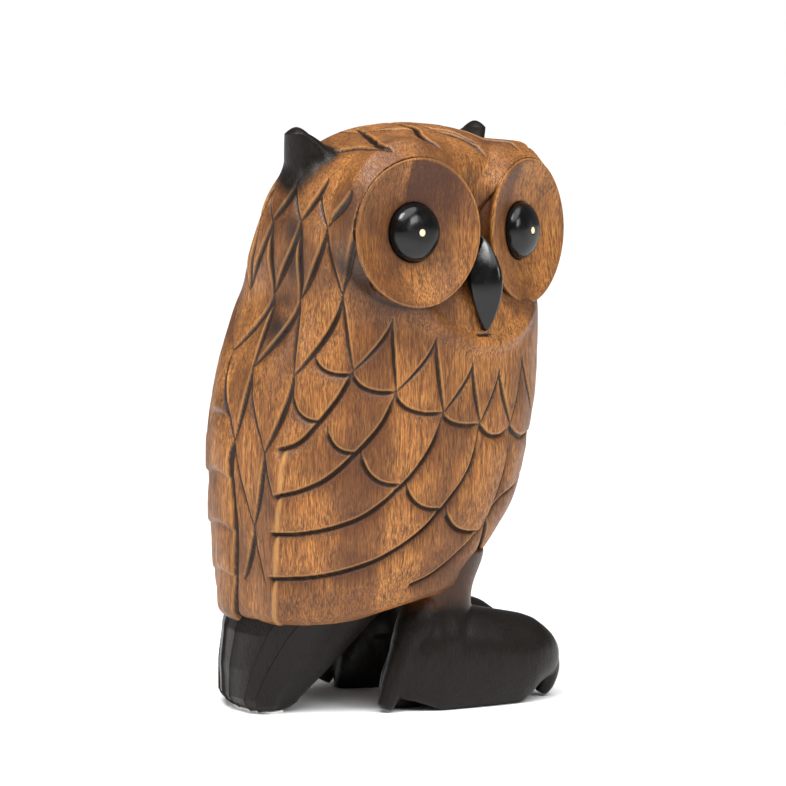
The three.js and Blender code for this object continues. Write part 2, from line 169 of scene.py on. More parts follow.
def add_mesh(name, points, faces, material, marks=None, normals=None):
    """One mesh object from points in millimetres and rows of four corner numbers, turned outwards.

    The sum of the signed volumes of its triangles about the origin says which way it is turned."""
    a, b, c, d = (points[faces[:, k]] for k in range(4))
    signed = np.einsum("ij,ij->i", a, np.cross(b, c)).sum() + np.einsum("ij,ij->i", a, np.cross(c, d)).sum()
    if signed < 0:
        faces = faces[:, ::-1]
    mesh = bpy.data.meshes.new(name)
    mesh.vertices.add(len(points))
    mesh.vertices.foreach_set("co", in_metres(points).astype(np.float32).ravel())
    # A triangle is written as a quad whose last corner repeats its first, and loses it here.
    triangle = faces[:, -1] == faces[:, 0]
    corners = np.concatenate([faces[~triangle].ravel(), faces[triangle][:, :3].ravel()])
    count = np.where(np.sort(triangle), 3, 4)
    mesh.loops.add(len(corners))
    mesh.loops.foreach_set("vertex_index", corners.astype(np.int32))
    mesh.polygons.add(len(count))
    mesh.polygons.foreach_set("loop_start", np.concatenate([[0], np.cumsum(count)[:-1]]).astype(np.int32))
    mesh.polygons.foreach_set("loop_total", count.astype(np.int32))
    mesh.polygons.foreach_set("use_smooth", np.ones(len(count), bool))
    for mark, values in (marks or {}).items():
        mesh.attributes.new(mark, "FLOAT", "POINT").data.foreach_set("value", values.astype(np.float32))
    mesh.update(calc_edges=True)
    mesh.validate()
    if normals is not None:
        mesh.normals_split_custom_set_from_vertices(normals.astype(np.float32))
    mesh.materials.append(material)
    piece = bpy.data.objects.new(name, mesh)
    bpy.context.scene.collection.objects.link(piece)
    return piece


def grid_faces(rows, count):
    """Corner numbers of a grid closed round its columns, with a pole after the last point at either end."""
    r, c = np.meshgrid(np.arange(rows - 1), np.arange(count), indexing="ij")
    after = (c + 1) % count
    quads = np.stack([r * count + c, (r + 1) * count + c, (r + 1) * count + after, r * count + after], -1)
    c = np.arange(count)
    after = (c + 1) % count
    first, last = np.full(count, rows * count), np.full(count, rows * count + 1)
    top = (rows - 1) * count
    low_cap = np.stack([first, c, after, first], -1)
    high_cap = np.stack([last, top + after, top + c, last], -1)
    return np.concatenate([quads.reshape(-1, 4), low_cap, high_cap])


def add_grid(name, points, material, marks=None, normals=None):
    """A closed piece from rings of points, each end closed on the middle of its last ring."""
    rows, count = points.shape[:2]
    poles = np.stack([points[0].mean(0), points[-1].mean(0)])
    marks = {mark: np.concatenate([values.ravel(), [values[0].mean(), values[-1].mean()]])
             for mark, values in (marks or {}).items()}
    if normals is not None:
        ends = np.stack([points[0].mean(0) - points[1].mean(0), points[-1].mean(0) - points[-2].mean(0)])
        ends /= np.maximum(np.linalg.norm(ends, axis=1, keepdims=True), 1e-9)
        normals = np.concatenate([normals.reshape(-1, 3), ends])
    return add_mesh(name, np.concatenate([points.reshape(-1, 3), poles]), grid_faces(rows, count), material,
                    marks=marks, normals=normals)


# The carver's cuts. Each is a line on the block. The wood above it stands proud, and the wood below it is
# sunk towards the line, so that each feather lies over the next.
block_normals = grid_normals(block)
flat_block, flat_normals = block.reshape(-1, 3), block_normals.reshape(-1, 3)
sunk = np.zeros(len(flat_block))        # mm below the plain block, from the slopes
cut = np.zeros(len(flat_block))         # mm below that, from the V-tool
cavity = np.zeros(len(flat_block))      # 1 at the bottom of a cut
pale_edge = np.zeros(len(flat_block))        # 1 on the sharp edge above a cut


def on_block(turns, heights):
    """Points of the plain block at turns and heights. The wings' lift is taken off the heights in steps."""
    turns, heights = np.asarray(turns, float), np.asarray(heights, float)
    plain = heights
    for _ in range(6):
        points = block_surface(turns, np.interp(plain, profile_height, way) / way[-1])
        plain = plain - (points[..., 2] - heights)
    return points


def through(points, count=40):
    """A smooth open curve through a few points, by a cubic with the neighbours' mean slope."""
    points = np.asarray(points, float)
    at = np.linspace(0, len(points) - 1, count)
    i = np.minimum(at.astype(int), len(points) - 2)
    f = (at - i)[:, None]
    slope = np.gradient(points, axis=0)
    rise = points[i] + (3 * f**2 - 2 * f**3) * (points[i + 1] - points[i])
    return rise + (f**3 - 2 * f**2 + f) * slope[i] + (f**3 - f**2) * slope[i + 1]


def carve(path, width, depth, step, wedge=False, reach=13, open_end=False):
    """Cuts one line: a V across it, deepest in the middle of its length if it is a wedge, and a slope below.
    A line with an open end keeps its full depth there.

    Each point of the block takes its nearest point of the line. Its distance is split into a part across
    the line, positive on the lower side, and a part beyond its ends."""
    low, high = path.min(0) - reach, path.max(0) + reach
    near = np.flatnonzero(((flat_block > low) & (flat_block < high)).all(1))
    spots = flat_block[near]
    squared = (spots**2).sum(1)[:, None] - 2 * spots @ path.T + (path**2).sum(1)
    nearest = squared.argmin(1)
    tangent = np.gradient(path, axis=0)
    tangent /= np.linalg.norm(tangent, axis=1, keepdims=True)
    sideways = np.cross(tangent, flat_normals[near[squared.argmin(0)]])
    if sideways[:, 2].sum() > 0:
        sideways = -sideways
    offset = spots - path[nearest]
    across = (offset * sideways[nearest]).sum(1)
    along = (offset * tangent[nearest]).sum(1)
    last = len(path) - 1
    beyond = np.where(nearest == 0, -along, np.where(nearest == last, along, 0)).clip(0)
    share = nearest / last
    if wedge:
        strength = 0.3 + 0.7 * np.sin(np.pi * share) ** 0.8
    else:
        strength = np.clip((share if open_end else np.minimum(share, 1 - share)) / 0.12, 0.35, 1)
    side_width = width * strength * np.where(across > 0, 1.25, 0.75)
    away = np.hypot(across, beyond)
    valley = np.clip(1 - away / side_width, 0, 1)
    fade = np.exp(-(beyond / 2.5) ** 2)
    slope = step * strength * fade * np.clip(1 - across / reach, 0, 1) ** 2 * (across > 0)
    slope += 0.7 * strength * fade * np.exp(np.minimum(across, 0) / 2.4) * (across <= 0)
    edge = np.exp(-((-across - side_width - 0.5) / 0.7) ** 2) * strength * fade
    sunk[near] = np.maximum(sunk[near], slope)
    cut[near] = np.maximum(cut[near], depth * strength * valley**0.8)
    cavity[near] = np.maximum(cavity[near], smoothstep(valley, 0.05, 0.6))
    pale_edge[near] = np.maximum(pale_edge[near], edge)


def stroke(start, end, **tool):
    """A V-tool cut between two points given as turn and height. It leaves upright and leans to the end."""
    share = np.linspace(0, 1, 30)
    turns = start[0] + (end[0] - start[0]) * share**1.5
    heights = start[1] + (end[1] - start[1]) * share
    carve(on_block(turns, heights), **tool)


def scallop(start, end, **tool):
    """The round end of a feather, from a point down and round to a lower one.

    A quarter of a superellipse, height = 1 - (1 - (1 - share)^2.4)^(1/2.4), which sags more the less it
    falls."""
    share = np.linspace(0, 1, 36) ** 1.5
    turns = start[0] + (end[0] - start[0]) * share
    fall = start[1] - end[1]
    heights = start[1] - fall * (1 - (1 - share) ** 2.4) ** (1 / 2.4)
    heights = heights - max(1.2, 10 - fall) * (1 - np.abs(2 * share - 1) ** 2.5)
    carve(on_block(turns, heights), **tool)


def mirrored(point, about=0):
    """The same point on the other side of the body's middle plane, or of the plane at another turn."""
    return (2 * about - point[0], point[1])


# Lancet feathers of the neck and shoulders: rows of tips, as turn and height, from the crown down.
# Each tip is met by a broad cut that leans back and a fine one that leans forward.
brow = [(134, 355), (133, 363), (148, 360), (166, 363), (184, 362)]
nape = [(129.5, 332), (142, 335), (157.5, 335), (170, 336)]
shoulder = [(124, 287), (143, 283), (158.5, 286), (180, 287)]
back = [(120, 238), (142, 233), (161.5, 237), (180, 246)]
flank = [(152, 181), (167, 188)]
rump = [(148, 152), (158, 131)]
hem = [(153, 92), (165, 93)]
BROAD = dict(width=2.3, depth=2.8, step=1.8, wedge=True)
FINE = dict(width=1.6, depth=2.0, step=1.1, wedge=True)

head_strokes = [(brow[0], nape[0]), (brow[1], nape[1]), (brow[2], nape[1]), (brow[2], nape[2]),
                (brow[3], nape[2]), (brow[3], nape[3]), (brow[4], nape[3]), (nape[0], shoulder[0]),
                ((119.5, 356), nape[0]), ((116.5, 348), shoulder[0]), (nape[0], shoulder[1]),
                (nape[1], shoulder[1]), (nape[1], shoulder[2]), (nape[2], shoulder[2])]
body_strokes = [(shoulder[0], back[0]), (shoulder[0], back[1]), (shoulder[1], back[1]), (shoulder[1], back[2]),
                (shoulder[2], back[2]), (shoulder[2], back[3]), (back[1], flank[0]), (back[2], flank[0]),
                (back[2], flank[1]), (back[3], flank[1]), (flank[0], rump[0]), (flank[0], rump[1]),
                (flank[1], rump[1]), (rump[1], hem[0]), (rump[1], hem[1])]
right_back = [(nape[2], shoulder[3]), (nape[3], shoulder[3])]
# The far side of the neck, where the head's rows meet the body's.
far_brow = [(-48, 361), (-62, 360), (-78, 360), (-98, 360), (-120, 360), (-142, 360), (-158, 361), (-174, 362)]
far_nape = [(-37, 336), (-52, 335), (-68, 335), (-87, 336), (-108, 336), (-132, 335), (-151, 335), (-167, 336)]
far_shoulder = [(-25, 286), (-44, 285), (-60, 286), (-76, 289), (-91, 296), (-107, 303), (-124, 287),
                (-143, 284), (-159, 286), (-180, 287)]
breast = [(0, 246), (22, 245), (44, 243), (58, 235), (71, 240), (87, 258), (105, 271)]
far_strokes = [((-33, 363), far_nape[0])]
far_strokes += [(far_brow[i], far_nape[i + k]) for i in range(8) for k in (0, 1) if i + k < 8]
far_strokes += [(far_nape[i], far_shoulder[i + k]) for i in range(5) for k in (0, 1)]
far_strokes += [(far_nape[i], far_shoulder[i + k]) for i in (5, 6, 7) for k in (1, 2)]
far_strokes += [((9, 287), breast[0]), ((9, 287), breast[1]), ((-10, 284), breast[0]),
                ((-10, 284), mirrored(breast[1]))]
far_strokes += [(far_shoulder[i], mirrored(breast[i + k])) for i in range(5) for k in (1, 2)]

for start, end in head_strokes + body_strokes + right_back:
    stroke(start, end, **(BROAD if end[0] > start[0] else FINE))
for start, end in head_strokes:
    stroke(mirrored(start, HEAD_TURN), mirrored(end, HEAD_TURN), **(BROAD if end[0] > start[0] else FINE))
for start, end in body_strokes:
    stroke(mirrored(start), mirrored(end), **(BROAD if end[0] > start[0] else FINE))
for start, end in far_strokes:
    stroke(start, end, **(BROAD if end[0] < start[0] else FINE))

# Breast feathers: from each top on the row above, two cuts run down to the notches where the wing begins,
# and a round end hangs between the notches.
notch = [(10, 195), (27, 194), (50, 196), (67, 199), (84, 208), (103.5, 223), (120, 237)]
EDGE = dict(width=1.6, depth=1.9, step=2.4)
for turn in (1, -1):
    for i, (top_turn, top_height) in enumerate(breast):
        if turn < 0 and i == 0:
            continue
        top = (turn * top_turn, top_height)
        for k in (i - 1, i):
            end = notch[max(k, 0)] if k >= 0 else mirrored(notch[0])
            end = (turn * end[0], end[1]) if k >= 0 else end
            stroke(top, end, width=1.6, depth=2.2, step=1.3, wedge=True)
    for i in range(len(notch) - 1):
        higher, lower = notch[i + 1], notch[i]
        if higher[1] < lower[1]:
            higher, lower = lower, higher
        scallop((turn * higher[0], higher[1]), (turn * lower[0], lower[1]), **EDGE)
    scallop((turn * 134, 247), (turn * 120, 235), **EDGE)
    scallop((turn * 142, 224), (turn * 131, 204), **EDGE)
    # The next row of round ends, each between two of the long wing feathers.
    for start, end in [((129, 200), (118, 183)), ((117, 186), (101, 161)), ((99, 163), (82, 143)),
                       ((81, 144), (61, 125)), ((9, 169), (28, 161))]:
        scallop((turn * start[0], start[1]), (turn * end[0], end[1]), **EDGE)
    turns, heights = through([(28, 161), (36, 152), (49, 146), (57, 132)]).T
    carve(on_block(turn * turns, heights), **EDGE)
scallop(mirrored(notch[0]), notch[0], **EDGE)
scallop((-9, 170), (9, 170), **EDGE)

# Long wing feathers sweep from the breast's notches down and back to the wing's rear corner.
wing_lines = [[(120, 237), (125, 220), (133, 201), (139, 189), (145.5, 184.5)],
              [(103.5, 223), (109, 202), (119, 182), (129, 166), (138, 157), (147, 152.5)],
              [(84, 208), (89, 185), (99, 163), (114, 142), (126, 133), (138, 128), (148.5, 127)],
              [(67, 199), (70, 174), (77, 155), (92, 128), (108, 112), (123, 103), (137, 98), (150.5, 96.5)],
              [(50, 196), (50, 171), (54, 147), (60, 126), (72, 111), (84, 98), (95, 91)],
              [(27, 194), (28, 178), (28, 161)], [(57, 133), (53, 116), (47, 100), (42, 90)],
              [(10, 195), (9, 182), (9, 169)]]
for line in wing_lines:
    turns, heights = through(line, 60).T
    for turn in (1, -1):
        carve(on_block(turn * turns, heights), width=1.8, depth=2.2, step=3.0, open_end=True)

# A strip down the back stands proud between two cuts, with steps like roof tiles.
turns, heights = through([(167, 188), (169, 169), (168, 125), (172, 66)], 60).T
for turn in (1, -1):
    carve(on_block(turn * turns, heights), width=2.2, depth=2.8, step=0, open_end=True)
turn_of, height_of = np.broadcast_to(columns, (ROWS, COLUMNS)), block[..., 2]
from_back = np.abs(180 - turn_of)
strip_half = np.interp(height_of, [66, 125, 169, 188, 206, 246], [8, 12, 11, 13, 8, 0])
on_strip = smoothstep(strip_half - from_back, -0.4, 1.4) * (height_of < 246)
TILE_EDGES = np.array([60, 97, 130, 165, 205, 246])
tile_height = np.clip(height_of + 5 * (from_back / 12) ** 2, 60.01, 245.99)
tile = np.searchsorted(TILE_EDGES, tile_height) - 1
down = (TILE_EDGES[tile + 1] - tile_height) / (TILE_EDGES[tile + 1] - TILE_EDGES[tile])
# Each tile swells towards its lower end, which is rounded off over its last tenth.
lip = np.sqrt(np.clip(1 - ((down - 0.9) / 0.1).clip(0) ** 2, 0, 1))
swell = np.sin(np.minimum(down / 0.9, 1) * np.pi / 2) * lip
STRIP_RISE, TILE_RISE = 0.6, 3.0        # mm that the strip stands proud, and that a tile swells
strip_rise = on_strip * (STRIP_RISE + TILE_RISE * swell)

# A soft fold round the beak, like a chin.
fold = through([(95, 281), (90, 271), (83, 262), (70, 253), (56, 254), (45, 262), (38, 273)], 60)
FOLD_RISE, FOLD_WIDTH, FOLD_REACH = 4.5, 6.0, 25
fold_points = on_block(*fold.T)
low, high = fold_points.min(0) - FOLD_REACH, fold_points.max(0) + FOLD_REACH
near = np.flatnonzero(((flat_block > low) & (flat_block < high)).all(1))
gap = np.sqrt(((flat_block[near][:, None] - fold_points[None]) ** 2).sum(-1).min(1))
fold_rise = np.zeros(len(flat_block))
fold_rise[near] = FOLD_RISE * np.exp(-(gap / FOLD_WIDTH) ** 2)
# The stop cut at the tip of the beak.
carve(on_block([70.5, 68, 65.5, 63], [259, 258.4, 258.4, 258.8]), width=1.4, depth=2.2, step=0, reach=4)

# Feathers of the crown, cut along lines given across the head, to the owl's left, and ahead.
FACE_AHEAD = np.append(heading(HEAD_TURN), 0)
FACE_ACROSS = np.append(heading(HEAD_TURN - 90), 0)
crown_lines = [
    [(-36, 20), (-51, 50), (-55, 69)], [(-8, 26), (-14, 52), (-24, 68), (-23, 84)],
    [(-2, 62), (12, 76), (17, 88)], [(-66, 20), (-61, 40), (-55, 69)], [(-40, 6), (-40, 22), (-38, 34)],
    [(-38, 34), (-26, 50), (-19, 60)], [(20, 48), (34, 66), (44, 80)], [(52, 34), (54, 52), (56, 72)],
    [(0, 40), (0, 54), (10, 63), (17, 81)],
    [(8, 8), (12, 30), (20, 48)], [(44, -4), (36, 22), (20, 48)], [(-20, -14), (-6, 8), (-8, 26)],
    [(-70, -4), (-56, 2), (-40, 6)], [(22, -16), (10, -2), (8, 8)]]
CROWN_BROAD = 3                         # the first cuts are broad, and the rest fine
upper = np.flatnonzero(flat_block[:, 2] > 372)
plan = np.stack([flat_block[upper] @ FACE_ACROSS, flat_block[upper] @ FACE_AHEAD], -1)
for number, line in enumerate(crown_lines):
    wanted = through(line, 40)
    found = ((plan[:, None] - wanted[None]) ** 2).sum(-1).argmin(0)
    path = flat_block[upper[found]]
    path[1:-1] = (path[:-2] + path[1:-1] + path[2:]) / 3
    carve(path, **(BROAD if number < CROWN_BROAD else FINE))

# ---- Face discs ----
# Two shallow dishes turned in the front of the head, splayed a little apart, one to an eye. The brow and the
# cheek run up flush to their rims, and the lower rim stands clear of the neck.

DISC_RADIUS = 49.5
DISC_FORWARD = 94                       # the rim's middle, ahead of the head's axis
DISC_SPLAY = 12
DISH_DEPTH = 9
EYE_RADIUS = 19.5
DISCS = {"right": (-1, 53, 328), "left": (1, 56, 326.5)}     # side, middle across and up


def disc_frame(which):
    """The middle of a disc's rim, and its own directions: to the owl's left along the rim, up, and out."""
    side, across, height = DISCS[which]
    out = np.append(heading(HEAD_TURN - side * DISC_SPLAY), 0)
    up = np.array([0, 0, 1.0])
    middle = FACE_AHEAD * DISC_FORWARD + FACE_ACROSS * side * across + up * height
    return middle, np.stack([np.cross(up, out), up, out])


BROW_DEPTH = 30                         # how far behind the rim the brow and cheek are filled
BROW_FLARE = 11                         # the part of that in which the brow climbs


def brow_radius(base, turn, which):
    """How far from the axis the brow and cheek reach behind a disc, along level lines from the axis.

    They fill a cone behind the rim. It flares most at the top, a little at the cheek and not at all below,
    and it begins deeper behind the rim towards the beak and the chin."""
    side = DISCS[which][0]
    middle, axes = disc_frame(which)
    direction = np.append(heading(turn), np.zeros(turn.shape + (1,)), -1)
    best = np.zeros(turn.shape)
    for radius in np.arange(60, 140):
        local = (base + direction * radius - middle) @ axes.T
        rho = np.hypot(local[..., 0], local[..., 1])
        outward, up = side * local[..., 0] / np.maximum(rho, 1), local[..., 1] / np.maximum(rho, 1)
        wall = 0.3 + 18 * smoothstep(-0.6 * outward - 0.8 * up, -0.15, 0.5)
        depth = -local[..., 2] - wall
        slope = 0.95 * np.clip(up, 0, 1) ** 1.5 + 0.14 * smoothstep(up, -0.6, 0)
        allowed = DISC_RADIUS + 0.4 + np.minimum(depth, BROW_FLARE) * slope
        best = np.where((depth > 0) & (depth < BROW_DEPTH) & (rho < allowed), radius, best)
    return best


centre = np.zeros_like(block)
pick = np.interp(levels * way[-1], way, np.arange(len(way)))
shift_row = np.interp(pick, np.arange(len(way)), profile_head[:, 4])
shift_row *= smoothstep(np.interp(pick, np.arange(len(way)), profile_height), NECK_LOW, NECK_HIGH)
centre += FACE_AHEAD * shift_row[:, None, None]
centre[..., 2] = block[..., 2]
out_line = block - centre
radius_now = np.linalg.norm(out_line, axis=-1)
rows_face = np.flatnonzero((block[:, 0, 2] > 285) & (block[:, 0, 2] < 397))
face_radius = radius_now[rows_face]
for which in DISCS:
    brow_reach = brow_radius(centre[rows_face], turn_of[rows_face], which)
    gain = brow_reach - face_radius
    # A soft maximum, so that the brow runs into the head over a few millimetres.
    soft = 5.0
    blend = np.clip(0.5 + gain / (2 * soft), 0, 1)
    face_radius = face_radius + np.where(brow_reach > 0, gain * blend + soft * blend * (1 - blend), 0)
new_radius = radius_now.copy()
new_radius[rows_face] = face_radius
# Averaging round each ring and up each column takes the steps of the search out of the brow.
change = new_radius - radius_now
for _ in range(3):
    change = (np.roll(change, 1, 1) + 2 * change + np.roll(change, -1, 1)) / 4
    change[1:-1] = (change[:-2] + 2 * change[1:-1] + change[2:]) / 4
block = block + out_line / np.maximum(radius_now, 1e-6)[..., None] * change[..., None]

# Inside the discs, the block stays well behind the dish, and nothing is cut there. The crease under the rims
# is darkened as painted shade, and the temples beside the discs are darkened more weakly.
DISC_BACK = -34                         # where a disc ends inside the block, behind its rim
TEMPLE_WIDTH, CREASE_WIDTH = 10, 1.6
flat_now = block.reshape(-1, 3)
keep, crease_shade, temple_shade = np.ones(len(flat_now)), np.zeros(len(flat_now)), np.zeros(len(flat_now))
for which in DISCS:
    middle, axes = disc_frame(which)
    local = (flat_now - middle) @ axes.T
    rho = np.hypot(local[:, 0], local[:, 1])
    behind = -18 + 16 * smoothstep(rho, DISC_RADIUS - 6, DISC_RADIUS - 0.2)
    too_far = np.where((rho < DISC_RADIUS) & (local[:, 2] > behind), local[:, 2] - behind, 0)
    flat_now = flat_now - too_far[:, None] * axes[2]
    keep *= 1 - (1 - smoothstep(rho, DISC_RADIUS - 2, DISC_RADIUS)) * smoothstep(local[:, 2], -6, -3)
    under = smoothstep(-local[:, 1] / np.maximum(rho, 1), 0.0, 0.5)
    beside = np.exp(-((rho - DISC_RADIUS) / TEMPLE_WIDTH).clip(0) ** 2)
    beside = beside * smoothstep(local[:, 2], DISC_BACK, -26)
    temple_shade = np.maximum(temple_shade, beside * (1 - smoothstep(local[:, 1], 20, 40)))
    on_wall = (local[:, 2] > DISC_BACK) * (local[:, 2] < 0)
    crease_shade = np.maximum(crease_shade, np.exp(-((rho - DISC_RADIUS) / CREASE_WIDTH) ** 2) * under * on_wall)


def softened(values):
    """A grid's values averaged with their neighbours, by 1, 2 and 1, round the rings and up the rows."""
    values = values.reshape(ROWS, COLUMNS)
    values = (np.roll(values, 1, 1) + 2 * values + np.roll(values, -1, 1)) / 4
    values[1:-1] = (values[:-2] + 2 * values[1:-1] + values[2:]) / 4
    return values


# Gentle facets left by the gouge under the polish: a few slow waves in different directions.
chance = np.random.default_rng(7)
facets = np.zeros(len(flat_now))
FACET_WAVES, FACET_HEIGHT = 14, 0.09
for _ in range(FACET_WAVES):
    wave = chance.normal(size=3) * 2 * np.pi / chance.uniform(22, 60)
    wave[2] *= 0.5
    facets += np.sin(flat_now @ wave + chance.uniform(0, 2 * np.pi))
block = flat_now.reshape(block.shape)
relief = softened(facets * FACET_HEIGHT + strip_rise.ravel() + fold_rise - keep * (sunk + cut))
normals = grid_normals(block)
# The poles have no normal of their own.
normals[-3:] = [0, 0, 1]
block = block + normals * relief[..., None]
normals = grid_normals(block)
normals[-3:] = [0, 0, 1]

# The ears' places come first, because the stain fades out round them.
# Side, ahead at the base and tip, the tip's height, and the outer edge's distance from the head's middle.
EARS = {"right": (-1, 12, 9, 397, 93), "left": (1, 12, 12, 401, 101)}
EAR_BASE = 348
EAR_HALF = 24
EAR_CUP, EAR_CUP_TURN, EAR_CUP_WIDTH = 0.27, 35, 34     # share of the radius, degrees outwards, degrees wide
EAR_FLATNESS = 0.8                      # an ear's thickness across the head as a share of its width ahead
EAR_BLEND = 9                           # how softly it grows out of the head


def ear_half(share):
    """Half width of an ear from 0 in the head to 1 at the rounded tip."""
    return EAR_HALF * np.clip(1 - np.asarray(share, float) ** 2.2, 0, 1) ** 0.6


def ear_radius(share, turn, side):
    """Radius of an ear at a share of its height and a turn round it, from ahead to the owl's right.

    A cup is taken out of its front: deepest half way up, and falling off to its sides as a bell curve."""
    off = (turn + side * EAR_CUP_TURN + 180) % 360 - 180
    cup = EAR_CUP * np.sin(np.pi * share) ** 1.2 * np.exp(-(off / EAR_CUP_WIDTH) ** 2)
    return ear_half(share) * (1 - cup)


def ear_axis(which, share):
    """An ear's middle line. It moves inwards as the ear gets wider, so that the outer edge stays upright."""
    side, base_ahead, tip_ahead, tip, edge = EARS[which]
    share = np.asarray(share, float)[..., None]
    across = side * (edge - 27 * np.maximum(ear_half(share), 9) / EAR_HALF)
    ahead = base_ahead + (tip_ahead - base_ahead) * share
    height = EAR_BASE + (tip - EAR_BASE) * share
    return FACE_ACROSS * across + FACE_AHEAD * ahead + np.array([0, 0, 1]) * height


def ear_gap(points, which):
    """How far points are from an ear's surface, level with them."""
    side, _, _, tip, _ = EARS[which]
    share = np.clip((points[..., 2] - EAR_BASE) / (tip - EAR_BASE), 0, 0.98)
    offset = points - ear_axis(which, share)
    offset = offset + (offset @ FACE_ACROSS)[..., None] * FACE_ACROSS * (1 / EAR_FLATNESS - 1)
    turn = np.degrees(np.arctan2(-offset @ FACE_ACROSS, offset @ FACE_AHEAD))
    return np.sqrt((offset**2).sum(-1)) - ear_radius(share, turn, side)


def ear_blend(points, directions, which):
    """How far points move along their directions to a soft union of the block and an ear.

    With a the distance to the ear and b the way moved, it is min(a, b) - max(k - |a - b|, 0)^2 / 4k."""
    way_out = np.linspace(0, EAR_BLEND, 20)
    ear = ear_gap(points[:, None] + directions[:, None] * way_out[:, None], which)
    bridge = np.maximum(EAR_BLEND - np.abs(ear - way_out), 0) ** 2 / (4 * EAR_BLEND)
    joined = np.minimum(ear, way_out) - bridge
    inside, plain = (np.clip(0.5 - gap / 1.2, 0, 1) for gap in (joined, way_out))
    return np.trapz(inside - plain, way_out, axis=1)


flat_now = block.reshape(-1, 3)
black = np.zeros(len(flat_now))
upper = np.flatnonzero(flat_now[:, 2] > 325)
for which in EARS:
    away = ear_gap(flat_now[upper], which)
    # Full stain at the ear's foot, and a thin wash further out.
    black[upper] = np.maximum(black[upper], 1 - smoothstep(away, -2, 14))
    black[upper] = np.maximum(black[upper], 0.34 * (1 - smoothstep(away, 5, 34)))
    close = upper[away < EAR_BLEND + 3]
    directions = normals.reshape(-1, 3)[close]
    flat_now[close] += directions * ear_blend(flat_now[close], directions, which)[:, None]
block = flat_now.reshape(block.shape)
# A dark knot on the right side of the neck: places as turn and height, and how far each spreads.
KNOTS = [((147, 303), 13), ((151, 285), 10), ((153, 264), 12), ((145, 330), 12)]
knot = np.zeros(len(flat_now))
for place, size in KNOTS:
    away = np.linalg.norm(flat_now - on_block(*np.array(place, float)), axis=1)
    knot = np.maximum(knot, np.exp(-(away / size) ** 2))
arris_off = np.abs(np.abs((turn_of + 180) % 360 - 180) - arris_turn(height_of))
arris_pale_edge = 1.4 * np.exp(-(arris_off / 0.9) ** 2) * (1 - smoothstep(height_of, 170, 205))
pale_edge = np.maximum(pale_edge * keep, arris_pale_edge.ravel() * (1 - cavity))
# Painted shade: the shade mark darkens the sunk wood below each cut and, more weakly, the temples, and the
# cavity mark adds the painted crease shade under the rims to the dark bottoms of the cuts.
marks = {"cavity": np.maximum(cavity * keep, 0.7 * crease_shade).reshape(whole), "pale_edge": pale_edge.reshape(whole),
         "shade": softened(np.maximum(np.clip(sunk * keep / 2.4, 0, 1), 0.85 * temple_shade)),
         "black": black.reshape(whole), "knot": knot.reshape(whole)}


def linear(code):
    """A colour written as an sRGB hex code, in the linear numbers that a shader takes."""
    values = np.array([int(code[i:i + 2], 16) for i in (1, 3, 5)]) / 255
    values = np.where(values <= 0.04045, values / 12.92, ((values + 0.055) / 1.055) ** 2.4)
    return (*values, 1.0)


def new_material(name):
    """An empty material with nodes, its shader and its object coordinates."""
    material = bpy.data.materials.new(name)
    material.use_nodes = True
    tree = material.node_tree
    tree.nodes.clear()
    shader = tree.nodes.new("ShaderNodeBsdfPrincipled")
    output = tree.nodes.new("ShaderNodeOutputMaterial")
    tree.links.new(shader.outputs["BSDF"], output.inputs["Surface"])
    place = tree.nodes.new("ShaderNodeTexCoord").outputs["Object"]
    return material, tree, shader, place


def add_node(tree, kind, sockets, **settings):
    """Adds a node, sets its settings, and fills its sockets with numbers or with other nodes' outputs."""
    made = tree.nodes.new(kind)
    for name, value in settings.items():
        setattr(made, name, value)
    for socket, value in sockets.items():
        if isinstance(value, bpy.types.NodeSocket):
            tree.links.new(value, made.inputs[socket])
        else:
            made.inputs[socket].default_value = value
    return made


